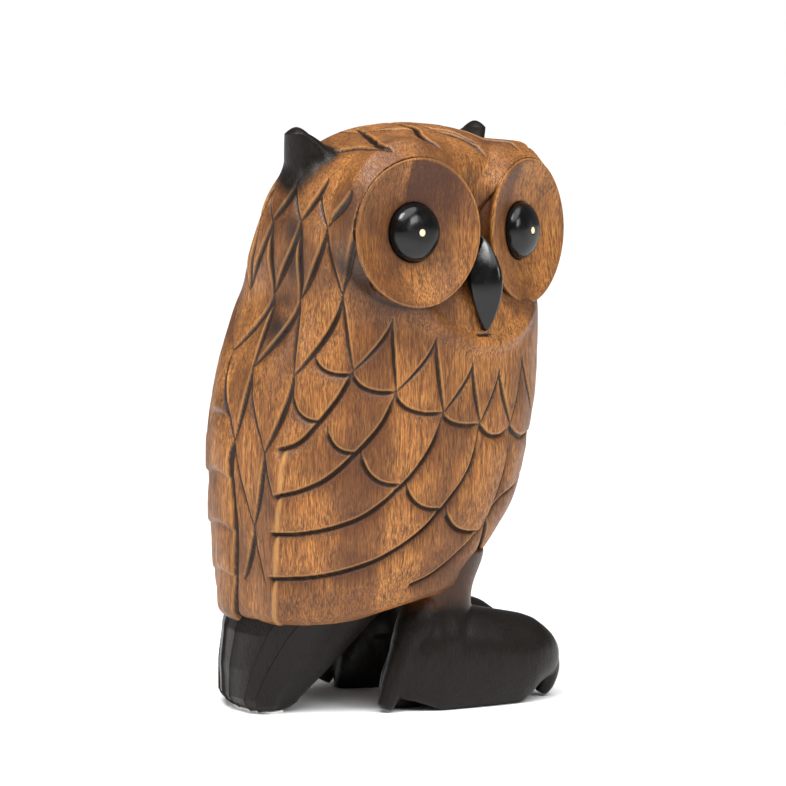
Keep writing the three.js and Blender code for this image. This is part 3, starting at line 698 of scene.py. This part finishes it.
def wood_material(name):
    """Hardwood with its fibres upright: streaks drawn out along Z, pores as fine dark dashes, darker
    heartwood, dark cuts, painted shade where marked, and pale edges. Black stain covers it where the piece is
    marked black."""
    material, tree, shader, place = new_material(name)
    # Streaks 2.4 mm wide and 50 mm long, fibres 0.8 mm by 9 mm, and pores 0.6 mm by 7 mm.
    long_way = add_node(tree, "ShaderNodeMapping", {"Vector": place, "Scale": (1, 1, 0.05)}).outputs[0]
    short_way = add_node(tree, "ShaderNodeMapping", {"Vector": place, "Scale": (1, 1, 0.09)}).outputs[0]
    noises = {"streak": (long_way, 420, 3, 0.6), "fibre": (short_way, 1250, 2, 0.6),
              "pore": (short_way, 1600, 1, 0.5), "cloud": (long_way, 34, 3, 0.5),
              "blotch": (place, 26, 4, 0.5)}
    pattern = {kind: add_node(tree, "ShaderNodeTexNoise", {"Vector": where, "Scale": scale, "Detail": detail,
                                                           "Roughness": rough}).outputs["Fac"]
               for kind, (where, scale, detail, rough) in noises.items()}
    for mark in ("heart", "knot", "shade", "pale_edge", "cavity", "black"):
        pattern[mark] = add_node(tree, "ShaderNodeAttribute", {}, attribute_name=mark).outputs["Fac"]

    # Layers of colour, each over the last: the pattern it follows, the part of that pattern's range in use,
    # how much it covers at either end of it, the mark that limits it, and its colour.
    layers = [("streak", 0.36, 0.64, 0.0, 1.0, None, "#91592B"),
              ("fibre", 0.45, 0.68, 0.0, 0.7, None, "#C28842"),
              ("cloud", 0.42, 0.62, 0.0, 0.65, None, "#522D12"),
              ("blotch", 0.46, 0.66, 0.0, 0.6, None, "#44240F"),
              ("pore", 0.57, 0.68, 0.0, 0.6, None, "#301807"),
              ("streak", 0.2, 0.7, 0.95, 0.75, "heart", "#3C1A07"),
              ("blotch", 0.35, 0.6, 0.45, 1.0, "knot", "#20110A"),
              # Painted shade, wherever the shade mark is set.
              ("shade", 0.0, 1.0, 0.0, 0.72, None, "#371B0A"),
              # Paler colour along sharp edges above the cuts, on the rims and on the wings' rear corner.
              ("pale_edge", 0.1, 1.0, 0.0, 0.4, None, "#BF8C50"),
              # Dark bottoms of the cuts, with painted shade in the crease under the rims and round the eye
              # sockets.
              ("cavity", 0.0, 0.8, 0.0, 0.95, None, "#1A0E08")]
    colour = linear("#573216")
    for kind, low, high, start, end, mark, code in layers:
        cover = add_node(tree, "ShaderNodeMapRange", {"Value": pattern[kind], "From Min": low,
                                                      "From Max": high, "To Min": start,
                                                      "To Max": end}).outputs[0]
        if mark:
            cover = add_node(tree, "ShaderNodeMath", {0: pattern[mark], 1: cover},
                             operation="MULTIPLY").outputs[0]
        colour = add_node(tree, "ShaderNodeMix", {0: cover, 6: colour, 7: linear(code)},
                          data_type="RGBA").outputs[2]

    # The stain's edge is ragged, because it creeps along the wood. The stain shines less than the wax.
    creep = add_node(tree, "ShaderNodeMapRange", {"Value": pattern["blotch"], "From Min": 0.3, "From Max": 0.7,
                                                  "To Min": -0.18, "To Max": 0.18}).outputs[0]
    ragged = add_node(tree, "ShaderNodeMath", {0: pattern["black"], 1: creep}, operation="ADD").outputs[0]
    stained = add_node(tree, "ShaderNodeMapRange",
                       {"Value": ragged, "From Min": 0.2, "From Max": 0.85}).outputs[0]
    ramps = {"stain": (pattern["fibre"], 0.35, 0.7, 0.0, 0.6),
             "satin": (pattern["fibre"], 0.3, 0.7, 0.54, 0.4),
             "pit": (pattern["pore"], 0.5, 0.68, 0.0, -1.0), "rubbed": (stained, 0.0, 1.0, 1.0, 0.7),
             "shine": (stained, 0.0, 1.0, 0.34, 0.16)}
    ramp = {use: add_node(tree, "ShaderNodeMapRange", {"Value": value, "From Min": low, "From Max": high,
                                                       "To Min": start, "To Max": end}).outputs[0]
            for use, (value, low, high, start, end) in ramps.items()}
    stain = add_node(tree, "ShaderNodeMix", {0: ramp["stain"], 6: linear("#0D0A08"), 7: linear("#1E1814")},
                     data_type="RGBA").outputs[2]
    colour = add_node(tree, "ShaderNodeMix", {0: stained, 6: colour, 7: stain}, data_type="RGBA").outputs[2]
    tree.links.new(colour, shader.inputs["Base Color"])
    rough = add_node(tree, "ShaderNodeMath", {0: ramp["satin"], 1: ramp["rubbed"]}, operation="MULTIPLY")
    tree.links.new(rough.outputs[0], shader.inputs["Roughness"])
    grain = add_node(tree, "ShaderNodeMath", {0: ramp["pit"], 1: pattern["fibre"]}, operation="ADD")
    bump = add_node(tree, "ShaderNodeBump", {"Height": grain.outputs[0], "Strength": 0.35, "Distance": 0.0004})
    tree.links.new(bump.outputs[0], shader.inputs["Normal"])
    tree.links.new(ramp["shine"], shader.inputs["Specular IOR Level"])
    shader.inputs["IOR"].default_value = 1.45
    shader.inputs["Coat Weight"].default_value = 0.04
    shader.inputs["Coat Roughness"].default_value = 0.3
    return material


# Waxed tropical hardwood, sanded and polished by hand: a satin brown with golden fibres and dark pores.
waxed_hardwood = wood_material("waxed_hardwood")

# The block is shown as four bands that meet on common rings, each light enough to keep its full surface.
# The underside, as rings: a share of the lowest ring's size, and mm above it.
UNDERSIDE = [(0.05, 7.0), (0.5, 8.0), (0.88, 6.0), (0.96, 3.0), (0.99, 0.5)]
ring = block[0]
middle = np.append(ring[:, :2].mean(0), 0)
under = np.stack([middle + (ring - middle) * [share, share, 1] + [0, 0, rise] for share, rise in UNDERSIDE])
full = np.concatenate([under, block])
full_normals = grid_normals(full)
full_normals[-3:] = [0, 0, 1]
unmarked = np.zeros((len(UNDERSIDE), COLUMNS))
full_marks = {mark: np.concatenate([unmarked, values]) for mark, values in marks.items()}
BANDS = ["wings_and_rump", "breast_and_back", "neck_and_shoulders", "crown_and_brow"]
edges = np.linspace(0, len(full) - 1, len(BANDS) + 1).astype(int)
for name, low, high in zip(BANDS, edges[:-1], edges[1:]):
    rows = slice(low, high + 1)
    band = add_grid(name, full[rows], waxed_hardwood,
                    {mark: values[rows] for mark, values in full_marks.items()}, full_normals[rows])
    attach(band, "root")
    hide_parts("carved_body")

# The two dishes with their rims. The block fills the space behind them.
DISH_EDGE = 47.6
DISH_POWER = 2.2                        # 2 is a parabola, and more is flatter in the middle
dish_radius = np.linspace(DISH_EDGE, EYE_RADIUS + 0.3, 40)
dish = np.stack([dish_radius, -DISH_DEPTH * (1 - (dish_radius / DISH_EDGE) ** DISH_POWER)], -1)
rim_angle = np.radians(np.linspace(0, 150, 9))
rim_edge = np.stack([DISC_RADIUS - 0.9 + 0.9 * np.cos(rim_angle), -0.9 + 0.9 * np.sin(rim_angle)], -1)
wall_out = np.linspace(-32, -1.2, 30)
wall = np.stack([DISC_RADIUS - 3.5 * smoothstep(-wall_out, 1.2, 8), wall_out], -1)
disc_profile = np.concatenate([[[20, -33], [42, -33]], wall, rim_edge, dish,
                               [[EYE_RADIUS + 0.3, -11.5], [8, -11.6]]])
spin = np.arange(300) / 300 * 2 * np.pi
for which, (side, _, _) in DISCS.items():
    middle, axes = disc_frame(which)
    hand = 1 + 0.006 * np.sin(3 * spin + side) + 0.004 * np.sin(5 * spin + 2)
    rho, out = disc_profile[:, :1] * hand, disc_profile[:, 1:] + 0 * spin
    x, y = rho * np.cos(spin), rho * np.sin(spin)
    wave = 0.35 * np.sin(x / 9 + side) * np.sin(y / 11) * (out < -1) * (rho < DISH_EDGE)
    points = middle + x[..., None] * axes[0] + y[..., None] * axes[1] + (out + wave)[..., None] * axes[2]
    rim = np.exp(-(((rho - 48.4) / 0.9) ** 2)) * (out > -1.2)
    # Sapwood meets heartwood on an upright line above the eye.
    if which == "right":
        heart = smoothstep(x, -7, -5) * smoothstep(y, -8, 24) * (1 - 0.3 * smoothstep(x, 25, 45))
    else:
        heart = (1 - smoothstep(x, -16, -4)) * smoothstep(y, -20, 20) * 0.7
    heart = heart * (rho < DISH_EDGE)
    # A painted shadow gap: the dish is darkened round the eye's socket.
    socket_shadow = np.exp(-((rho - EYE_RADIUS) / 1.6) ** 2)
    # The wall behind the rim is darkened as painted shade.
    piece = add_grid(which + "_disc", points, waxed_hardwood,
                     {"pale_edge": 0.5 * rim, "heart": heart, "cavity": socket_shadow * 0.6,
                      "shade": 0.9 * smoothstep(-out, 1.2, 4) * (rho > DISC_RADIUS - 4)})
    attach(piece, "root")
    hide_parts("carved_body")

# ---- Ears ----
# Two tufts of the same block, rounded at the tip, cupped in front and stained black.

EAR_COLUMNS = 120
spin = np.arange(EAR_COLUMNS) / EAR_COLUMNS * 360
for which, (side, *_) in EARS.items():
    share = 1 - (1 - np.linspace(0, 1, 90)) ** 1.6
    share = np.clip(share, 0, 0.9985)
    line = ear_axis(which, share)
    rho = ear_radius(share[:, None], spin, side)
    across = EAR_FLATNESS * rho * np.sin(np.radians(spin)) * -1
    ahead = rho * np.cos(np.radians(spin))
    points = line[:, None] + across[..., None] * FACE_ACROSS + ahead[..., None] * FACE_AHEAD
    piece = add_grid(which + "_ear", points, waxed_hardwood, {"black": np.ones(points.shape[:2])})
    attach(piece, "root")
    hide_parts("carved_body")

# ---- Legs and feet ----
# Cut from the same block, each a short round leg on a heavy foot with a spur behind and a claw in front,
# rubbed smooth and stained black, which thins to brown under the wing feathers.

LEG_OFFSET, LEG_FORWARD, TOE_IN = 46, 29, 6
LEG_RADIUS, HEM_FLARE, ANKLE_FLARE = 22.5, 9, 5     # it is wider at the wing feathers and on the foot
# Ahead of the heel, half width, underside and top of the foot.
FOOT_SECTIONS = np.array([
    [-6, 8, 10, 46], [-2, 15, 8, 56], [4, 20, 7, 65], [12, 23, 4, 71], [22, 25, 0, 73], [45, 27, 0, 71],
    [65, 28, 0, 66], [84, 27, 0, 62], [93, 26, 5, 60], [101, 24, 12, 57], [108, 21, 15, 52],
    [114, 17, 17, 47], [119, 12, 20, 41], [122, 5, 26, 34]], float)
# The inner side of the foot runs straight down to the floor, from the spur to the toes.
INNER_SECTIONS = np.array([[-11, 4, 0, 12], [-8, 8, 0, 26], [0, 11, 0, 44], [10, 13, 0, 60], [40, 14, 0, 60],
                           [80, 14, 0, 50], [92, 10, 0, 40]], float)


def fused(name, shells, voxel, passes):
    """Several closed shells made one skin: filled with voxels, skinned and relaxed. Its points and faces."""
    points = np.concatenate([shell.reshape(-1, 3) for shell in shells])
    faces, start = [], 0
    ends = []
    for shell in shells:
        rows, count = shell.shape[:2]
        made = grid_faces(rows, count)
        made = np.where(made >= rows * count, made - rows * count + 10**6, made + start)
        faces.append(np.where(made >= 10**6, made - 10**6 + len(points) + len(ends), made))
        ends += [shell[0].mean(0), shell[-1].mean(0)]
        start += rows * count
    points = np.concatenate([points, ends])
    faces = np.concatenate(faces)
    mesh = bpy.data.meshes.new(name + "_shells")
    mesh.from_pydata((points / 1000).tolist(), [], [list(dict.fromkeys(face)) for face in faces.tolist()])
    rough = bpy.data.objects.new(name + "_shells", mesh)
    bpy.context.scene.collection.objects.link(rough)
    remesh = rough.modifiers.new("skin", "REMESH")
    remesh.mode, remesh.voxel_size = "VOXEL", voxel / 1000
    relax = rough.modifiers.new("relax", "SMOOTH")
    relax.factor, relax.iterations = 0.5, passes
    made = rough.evaluated_get(bpy.context.evaluated_depsgraph_get()).to_mesh()
    out = np.zeros(len(made.vertices) * 3)
    made.vertices.foreach_get("co", out)
    corners = np.zeros(len(made.loops), int)
    made.loops.foreach_get("vertex_index", corners)
    rough.to_mesh_clear()
    bpy.data.objects.remove(rough)
    return out.reshape(-1, 3) * 1000, corners.reshape(-1, 4)


def foot_shell(sections, side, shift=0, flat=1.3, count=48):
    """Rings across the foot's length, each a soft square cut flat underneath, shifted to the outside."""
    at = np.linspace(0, len(sections) - 1, 60)
    rows = np.stack([np.interp(at, np.arange(len(sections)), sections[:, k])
                     for k in range(4)], -1)
    angle = np.arange(count) / count * 2 * np.pi
    c, s = np.cos(angle), np.sin(angle)
    across = rows[:, 1:2] * np.sign(c) * np.abs(c) ** 0.8
    up = np.maximum(-1, np.where(s < 0, s * flat, s)) * (rows[:, 3:] - rows[:, 2:3]) / 2
    height = (rows[:, 3:] + rows[:, 2:3]) / 2 + up
    return in_foot(rows[:, :1] + 0 * across, across + shift, height, side)


def in_foot(ahead, across, height, side):
    """Points of a foot: ahead of the heel, across to the outside, and up. The toes turn in a little."""
    turn = np.radians(TOE_IN)
    x = across * np.cos(turn) - ahead * np.sin(turn) + LEG_OFFSET + 5
    y = -(ahead * np.cos(turn) + across * np.sin(turn))
    return np.stack([side * x, y, height + 0 * x], -1)


def horn_shell(line, radii, side, count=28):
    """A horn along a smooth line of points ahead, across and up in the foot, with a radius at each."""
    path = through(line, 50)
    radius = through(np.array(radii)[:, None] * [1, 1], 50)[:, :1]
    tangent = np.gradient(path, axis=0)
    tangent /= np.linalg.norm(tangent, axis=1, keepdims=True)
    first = np.cross(tangent, [0, 1, 0])
    first /= np.linalg.norm(first, axis=1, keepdims=True)
    second = np.cross(tangent, first)
    angle = np.arange(count) / count * 2 * np.pi
    ring = path[:, None] + radius[..., None] * (np.cos(angle)[:, None] * first[:, None]
                                                + np.sin(angle)[:, None] * second[:, None])
    return in_foot(ring[..., 0], ring[..., 1], np.maximum(ring[..., 2], 0), side)


for name, side in (("right", -1), ("left", 1)):
    leg_height = np.linspace(38, 110, 44)[:, None]
    angle = np.arange(64) / 64 * 2 * np.pi
    leg_radius = (LEG_RADIUS + HEM_FLARE * smoothstep(leg_height, 70, 110) ** 1.5
                  + ANKLE_FLARE * (1 - smoothstep(leg_height, 45, 72)))
    leg = np.stack([side * LEG_OFFSET + leg_radius * np.cos(angle), -LEG_FORWARD + leg_radius * np.sin(angle),
                    leg_height + 0 * angle], -1)
    spur = horn_shell([(18, 4, 74), (11, 4, 58), (2, 4, 38), (-8, 4, 19), (-16, 4, 3)],
                      [13, 16, 13, 9, 5.5], side)
    claw = horn_shell([(96, 3, 40), (106, 3, 34), (114, 3, 22), (113, 3, 10), (109, 3, 2.5)],
                      [15, 13, 9.5, 7, 4.5], side)
    inner = foot_shell(INNER_SECTIONS, side, shift=-10)
    outer = foot_shell(FOOT_SECTIONS, side)
    points, faces = fused(name + "_foot", [leg, outer, inner, spur, claw], voxel=1.15, passes=14)
    points[:, 2] = np.maximum(points[:, 2], 0)
    brown = smoothstep(points[:, 2] + 1.5 * np.sin(points[:, 0] / 5), 60, 82)
    # The shade mark is set all over, but shows only where the stain thins: painted shade on the brown at the
    # top of the leg, under the wing feathers.
    piece = add_mesh(name + "_foot", points, faces, waxed_hardwood,
                     marks={"black": 1 - 0.62 * brown, "shade": np.ones(len(points))})
    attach(piece, "root")
    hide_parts("carved_body")

# ---- Tail ----
# A short fan below the wings, part of the block, scored with V-cuts between its feathers and stained black.

# Height, rear, front and half width.
TAIL_SECTIONS = np.array([
    [1.8, 100, 75, 31], [3, 102, 72, 33.5], [6, 106, 68, 35.5], [10, 108.5, 65, 37], [30, 109, 46, 44],
    [55, 106, 25, 54], [68, 102, 14, 60], [84, 98, 2, 62]], float)
TAIL_COLUMNS = 420
TAIL_ROWS = 150
level = np.linspace(0, len(TAIL_SECTIONS) - 1, TAIL_ROWS)
rows = np.stack([np.interp(level, np.arange(len(TAIL_SECTIONS)), TAIL_SECTIONS[:, k]) for k in range(4)], -1)
tail_height, tail_rear, tail_front, tail_half = (rows[:, k:k + 1] for k in range(4))
# Two thirds of the columns go round the fan, and the rest close its front.
around = np.arange(TAIL_COLUMNS) / TAIL_COLUMNS
fan = np.clip(around / (2 / 3), 0, 1) * 180
across = tail_half * np.cos(np.radians(fan))
behind = (tail_front + tail_rear) / 2 + (tail_rear - tail_front) / 2 * np.sin(np.radians(fan)) ** 0.7
inner = np.clip((around - 2 / 3) * 3, 0, 1)
front_across = (tail_half - 3) * (2 * inner - 1)
front_behind = (tail_front + tail_rear) / 2 - (tail_rear - tail_front) / 2 * (1 - np.abs(2 * inner - 1) ** 24)
on_front = around > 2 / 3
x = np.where(on_front, front_across, across)
y = np.where(on_front, front_behind, behind)
tail = np.stack([x, y, tail_height + 0 * x], -1)
tail_normals = grid_normals(tail)
# Each score runs from a turn of the fan at the wings to one at the tail's end.
tail_cut, tail_pale_edge = np.zeros(tail.shape[:2]), np.zeros(tail.shape[:2])
share = np.clip(1 - (tail_height - 2) / 76, 0, 1)
for top, end in ((78, 80), (34, 50), (12, 30)):
    for turn in (1, -1):
        at = 90 + turn * (90 - (top + (end - top) * share))
        size = np.hypot(tail_half, (tail_rear - tail_front) / 2) / 1.41 * np.pi / 180
        away = np.where(on_front, 99, (fan - at) * size)
        tail_cut = np.maximum(tail_cut, np.clip(1 - np.abs(away) / 1.2, 0, 1) * 1.5)
        tail_cut = np.maximum(tail_cut, 0.9 * np.clip(1 - turn * away / 9, 0, 1) ** 2 * (turn * away > 0))
        tail_pale_edge = np.maximum(tail_pale_edge, 0.5 * np.exp(-((turn * away + 1.3) / 0.5) ** 2))
tail = tail - tail_normals * tail_cut[..., None]
brown = smoothstep(tail_height + 3 * np.sin(x / 7), 66, 82) * smoothstep(np.abs(x), 34, 50)
piece = add_grid("tail_fan", tail, waxed_hardwood, {"black": 1 - brown + 0 * x, "pale_edge": tail_pale_edge})
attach(piece, "root")
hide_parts("carved_body")

# ---- Eyes and pupils ----
# Each eye is a turned dome of dense wood, dipped in black lacquer and polished, glued into a socket in its
# disc. A pale peg in a fine hole at its crown makes the pupil.

EYE_DOME = 12
EYE_FULLNESS = 2.6                      # exponent of the dome's superellipse
PUPIL_RADIUS = 2.3
PUPIL_BORE = 2.5


def lacquer_material(name):
    """Black lacquer over wood: nearly black, glossy under a clear coat, with faint streaks from the brush."""
    material, tree, shader, place = new_material(name)
    drawn = add_node(tree, "ShaderNodeMapping", {"Vector": place, "Scale": (1, 1, 0.2)}).outputs[0]
    # Brush marks about 2 mm apart, and dust and fine wear about 6 mm across.
    brush = add_node(tree, "ShaderNodeTexNoise", {"Vector": drawn, "Scale": 500, "Detail": 2}).outputs["Fac"]
    wear = add_node(tree, "ShaderNodeTexNoise", {"Vector": place, "Scale": 160, "Detail": 4}).outputs["Fac"]
    tint = add_node(tree, "ShaderNodeMix", {0: wear, 6: linear("#030304"), 7: linear("#0A0A0B")},
                    data_type="RGBA")
    tree.links.new(tint.outputs[2], shader.inputs["Base Color"])
    rough = add_node(tree, "ShaderNodeMapRange", {"Value": wear, "From Min": 0.35, "From Max": 0.7,
                                                  "To Min": 0.14, "To Max": 0.3})
    tree.links.new(rough.outputs[0], shader.inputs["Roughness"])
    bump = add_node(tree, "ShaderNodeBump", {"Height": brush, "Strength": 0.12, "Distance": 0.0003})
    tree.links.new(bump.outputs[0], shader.inputs["Normal"])
    shader.inputs["IOR"].default_value = 1.45
    shader.inputs["Specular IOR Level"].default_value = 0.4
    return material


def peg_material(name):
    """A cut end of pale wood: cream, with the rings and rays of the end grain as a fine mottle, and matt."""
    material, tree, shader, place = new_material(name)
    mottle = add_node(tree, "ShaderNodeTexNoise",
                      {"Vector": place, "Scale": 1400, "Detail": 3}).outputs["Fac"]
    tint = add_node(tree, "ShaderNodeMix", {0: mottle, 6: linear("#D9B98C"), 7: linear("#F3DDB8")},
                    data_type="RGBA")
    tree.links.new(tint.outputs[2], shader.inputs["Base Color"])
    bump = add_node(tree, "ShaderNodeBump", {"Height": mottle, "Strength": 0.2, "Distance": 0.0002})
    tree.links.new(bump.outputs[0], shader.inputs["Normal"])
    shader.inputs["Roughness"].default_value = 0.5
    return material


black_lacquer = lacquer_material("black_lacquer")
pale_end_grain = peg_material("pale_end_grain")
dome_angle = np.linspace(0, np.arccos((PUPIL_BORE / EYE_RADIUS) ** (EYE_FULLNESS / 2)), 60)
dome = np.stack([EYE_RADIUS * np.cos(dome_angle) ** (2 / EYE_FULLNESS),
                 -DISH_DEPTH + EYE_DOME * np.sin(dome_angle) ** (2 / EYE_FULLNESS)], -1)
top = dome[-1, 1]
bore = PUPIL_BORE - 0.1
eye_profile = np.concatenate([[[5.9, -21], [6, -20.8], [6, -12.2], [19, -12], [EYE_RADIUS, -11.5]],
                              [[EYE_RADIUS, -10]], dome,
                              [[bore, top - 0.3], [bore, top - 3.9], [0.4, top - 4]]])
peg_profile = np.array([[0.5, -3.8], [2.2, -3.8], [PUPIL_RADIUS, -3.6], [PUPIL_RADIUS, -0.1], [2.2, 0.05],
                        [1.9, 0.18], [1.2, 0.3], [0.4, 0.36]])
spin = np.arange(180) / 180 * 2 * np.pi
for which in DISCS:
    middle, axes = disc_frame(which)
    for kind, profile, material, slot in (
            ("eye", eye_profile, black_lacquer, "black_lacquer"),
            ("pupil_peg", peg_profile + [0, top], pale_end_grain, "pale_wood")):
        rho, out = profile[:, :1], profile[:, 1:]
        round_axis = (rho * np.cos(spin))[..., None] * axes[0] + (rho * np.sin(spin))[..., None] * axes[1]
        points = middle + round_axis + (out + 0 * spin)[..., None] * axes[2]
        piece = add_grid(f"{which}_{kind}_turned", points, material)
        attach(piece, "root")
        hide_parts(f"{which}_{kind}")

# ---- Beak ----
# An almond of the same black lacquered wood with a ridge down its front, on a round tenon in the face.

BEAK_TOP, BEAK_LENGTH = 326, 65
# Share of the length from the tip up, half width, back and front of the head's axis.
BEAK_SECTIONS = np.array([
    [0, 0.6, 103, 104.5], [0.02, 1.9, 101, 106.5], [0.06, 3.4, 100, 108.8], [0.18, 7.2, 97, 113.2],
    [0.34, 11, 94, 117], [0.48, 12.5, 91, 118.5], [0.64, 11.4, 89, 117], [0.8, 8, 87, 112],
    [0.93, 4, 87, 105], [1, 1, 88, 99]], float)
rows = smooth_rows(BEAK_SECTIONS * [BEAK_LENGTH, 1, 1, 1], 140) / [BEAK_LENGTH, 1, 1, 1]
share, half, back_line, front_line = (rows[:, k:k + 1] for k in range(4))
half = np.maximum(half, 0.4)
spin = np.arange(96) / 96 * 2 * np.pi
across = half * np.cos(spin)
RIDGE_POWER, EDGE_POWER = 1.55, 1.25    # 2 is round, and less makes the ridge or the edges sharper
WAIST = 0.42                            # where it is widest, from back to front
belly = (1 - np.abs(np.cos(spin)) ** RIDGE_POWER) ** (1 / EDGE_POWER)
waist = back_line + (front_line - back_line) * WAIST
ahead = np.where(np.sin(spin) > 0, waist + (front_line - waist) * belly, waist - (waist - back_line) * belly)
beak_height = BEAK_TOP - BEAK_LENGTH * (1 - share)
points = (across[..., None] * FACE_ACROSS + ahead[..., None] * FACE_AHEAD
          + (beak_height + 0 * spin)[..., None] * np.array([0, 0, 1]))
piece = add_grid("beak_almond", points, black_lacquer)
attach(piece, "root")
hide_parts("beak")

# ---- Tail pad ----
# A thin piece of white wool felt glued under the tail, so that the block doesn't scratch a shelf.


def felt_material(name):
    """Pressed wool felt: off-white, quite matt, with short fibres in every direction."""
    material, tree, shader, place = new_material(name)
    # Fibres about 0.8 mm long in the felt's surface.
    fibre = add_node(tree, "ShaderNodeTexNoise", {"Vector": place, "Scale": 1300, "Detail": 4}).outputs["Fac"]
    tint = add_node(tree, "ShaderNodeMix", {0: fibre, 6: linear("#D6D2CA"), 7: linear("#F4F2ED")},
                    data_type="RGBA")
    tree.links.new(tint.outputs[2], shader.inputs["Base Color"])
    bump = add_node(tree, "ShaderNodeBump", {"Height": fibre, "Strength": 0.5, "Distance": 0.0003})
    tree.links.new(bump.outputs[0], shader.inputs["Normal"])
    shader.inputs["Roughness"].default_value = 0.95
    shader.inputs["Sheen Weight"].default_value = 0.3
    return material


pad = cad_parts["tail_pad"]
pad.data.materials.clear()
pad.data.materials.append(felt_material("white_wool_felt"))

# ---- Floor, light and camera ----
# A pale floor that runs into a pale surround, a wide sun high in front, three soft boxes, and a long lens.

floor_mesh = bpy.data.meshes.new("pale_floor")
FLOOR_REACH = 60
floor_corners = [(-FLOOR_REACH, -FLOOR_REACH, 0), (FLOOR_REACH, -FLOOR_REACH, 0),
                 (FLOOR_REACH, FLOOR_REACH, 0), (-FLOOR_REACH, FLOOR_REACH, 0)]
floor_mesh.from_pydata(floor_corners, [], [(0, 1, 2, 3)])
floor = bpy.data.objects.new("pale_floor", floor_mesh)
bpy.context.scene.collection.objects.link(floor)
floor_paint, tree, shader, _ = new_material("pale_floor_paint")
shader.inputs["Base Color"].default_value = linear("#F7F7F7")
shader.inputs["Roughness"].default_value = 0.7
floor_mesh.materials.append(floor_paint)

# The surround looks white and gives a weaker, even light.
world = bpy.data.worlds.new("pale_surround")
bpy.context.scene.world = world
world.use_nodes = True
tree = world.node_tree
seen = add_node(tree, "ShaderNodeBackground", {"Color": linear("#FFFFFF"), "Strength": 1.0}).outputs[0]
given = add_node(tree, "ShaderNodeBackground", {"Color": linear("#FFFFFF"), "Strength": 0.2}).outputs[0]
ray = add_node(tree, "ShaderNodeLightPath", {}).outputs["Is Camera Ray"]
both = add_node(tree, "ShaderNodeMixShader", {0: ray, 1: given, 2: seen}).outputs[0]
tree.links.new(both, tree.nodes["World Output"].inputs["Surface"])
bpy.context.scene.view_settings.view_transform = "Standard"

# The camera stands at a level turn of 113 degrees from the feet, 2.15 m from the block's axis.
CAMERA_TURN = 113
CAMERA_DISTANCE = 2150
CAMERA_HEIGHT = 408.7
CAMERA_ASIDE = 13.8
CAMERA_PITCH = 5.2
SENSOR = 36
LENS = 142.8
camera_out = np.append(heading(CAMERA_TURN), 0)
camera_right = np.array([-camera_out[1], camera_out[0], 0])
lens = bpy.data.cameras.new("portrait_lens")
lens.sensor_width, lens.lens = SENSOR, LENS
camera = bpy.data.objects.new("camera", lens)
camera.location = in_metres(camera_out * CAMERA_DISTANCE + camera_right * CAMERA_ASIDE + [0, 0, CAMERA_HEIGHT])
pitch = np.radians(CAMERA_PITCH)
look = Vector(-camera_out * np.cos(pitch) - np.array([0, 0, np.sin(pitch)]))
camera.rotation_euler = look.to_track_quat("-Z", "Y").to_euler()
bpy.context.scene.collection.objects.link(camera)
bpy.context.scene.camera = camera

# A broad sky light keeps the floor white. Its sun is so wide that it leaves only a soft shadow.
sky = bpy.data.lights.new("sky_light", "SUN")
sky.energy, sky.angle = 3.8, np.radians(65)
lamp = bpy.data.objects.new("sky_light", sky)
lamp.rotation_euler = Vector(-camera_right * 0.1 - camera_out * 0.4 - np.array([0, 0, 1.0])).to_track_quat(
    "-Z", "Y").to_euler()
bpy.context.scene.collection.objects.link(lamp)
# Soft boxes: metres to the camera's right, towards it, and up from the block's foot, then width and watts.
SOFT_BOXES = {"left": (-1.3, 0.7, 0.8, 0.5, 8), "top": (-0.3, 0.8, 1.5, 0.5, 18),
              "right": (1.2, 1.0, 0.9, 0.5, 8)}
target = Vector(in_metres([0, 0, 220]))
for name, (right, towards, up, width, watts) in SOFT_BOXES.items():
    box = bpy.data.lights.new(name + "_soft_box", "AREA")
    box.shape, box.size, box.energy = "SQUARE", width, watts
    lamp = bpy.data.objects.new(name + "_soft_box", box)
    lamp.location = Vector(AXIS + camera_right * right + camera_out * towards + [0, 0, up])
    lamp.rotation_euler = (target - lamp.location).to_track_quat("-Z", "Y").to_euler()
    bpy.context.scene.collection.objects.link(lamp)
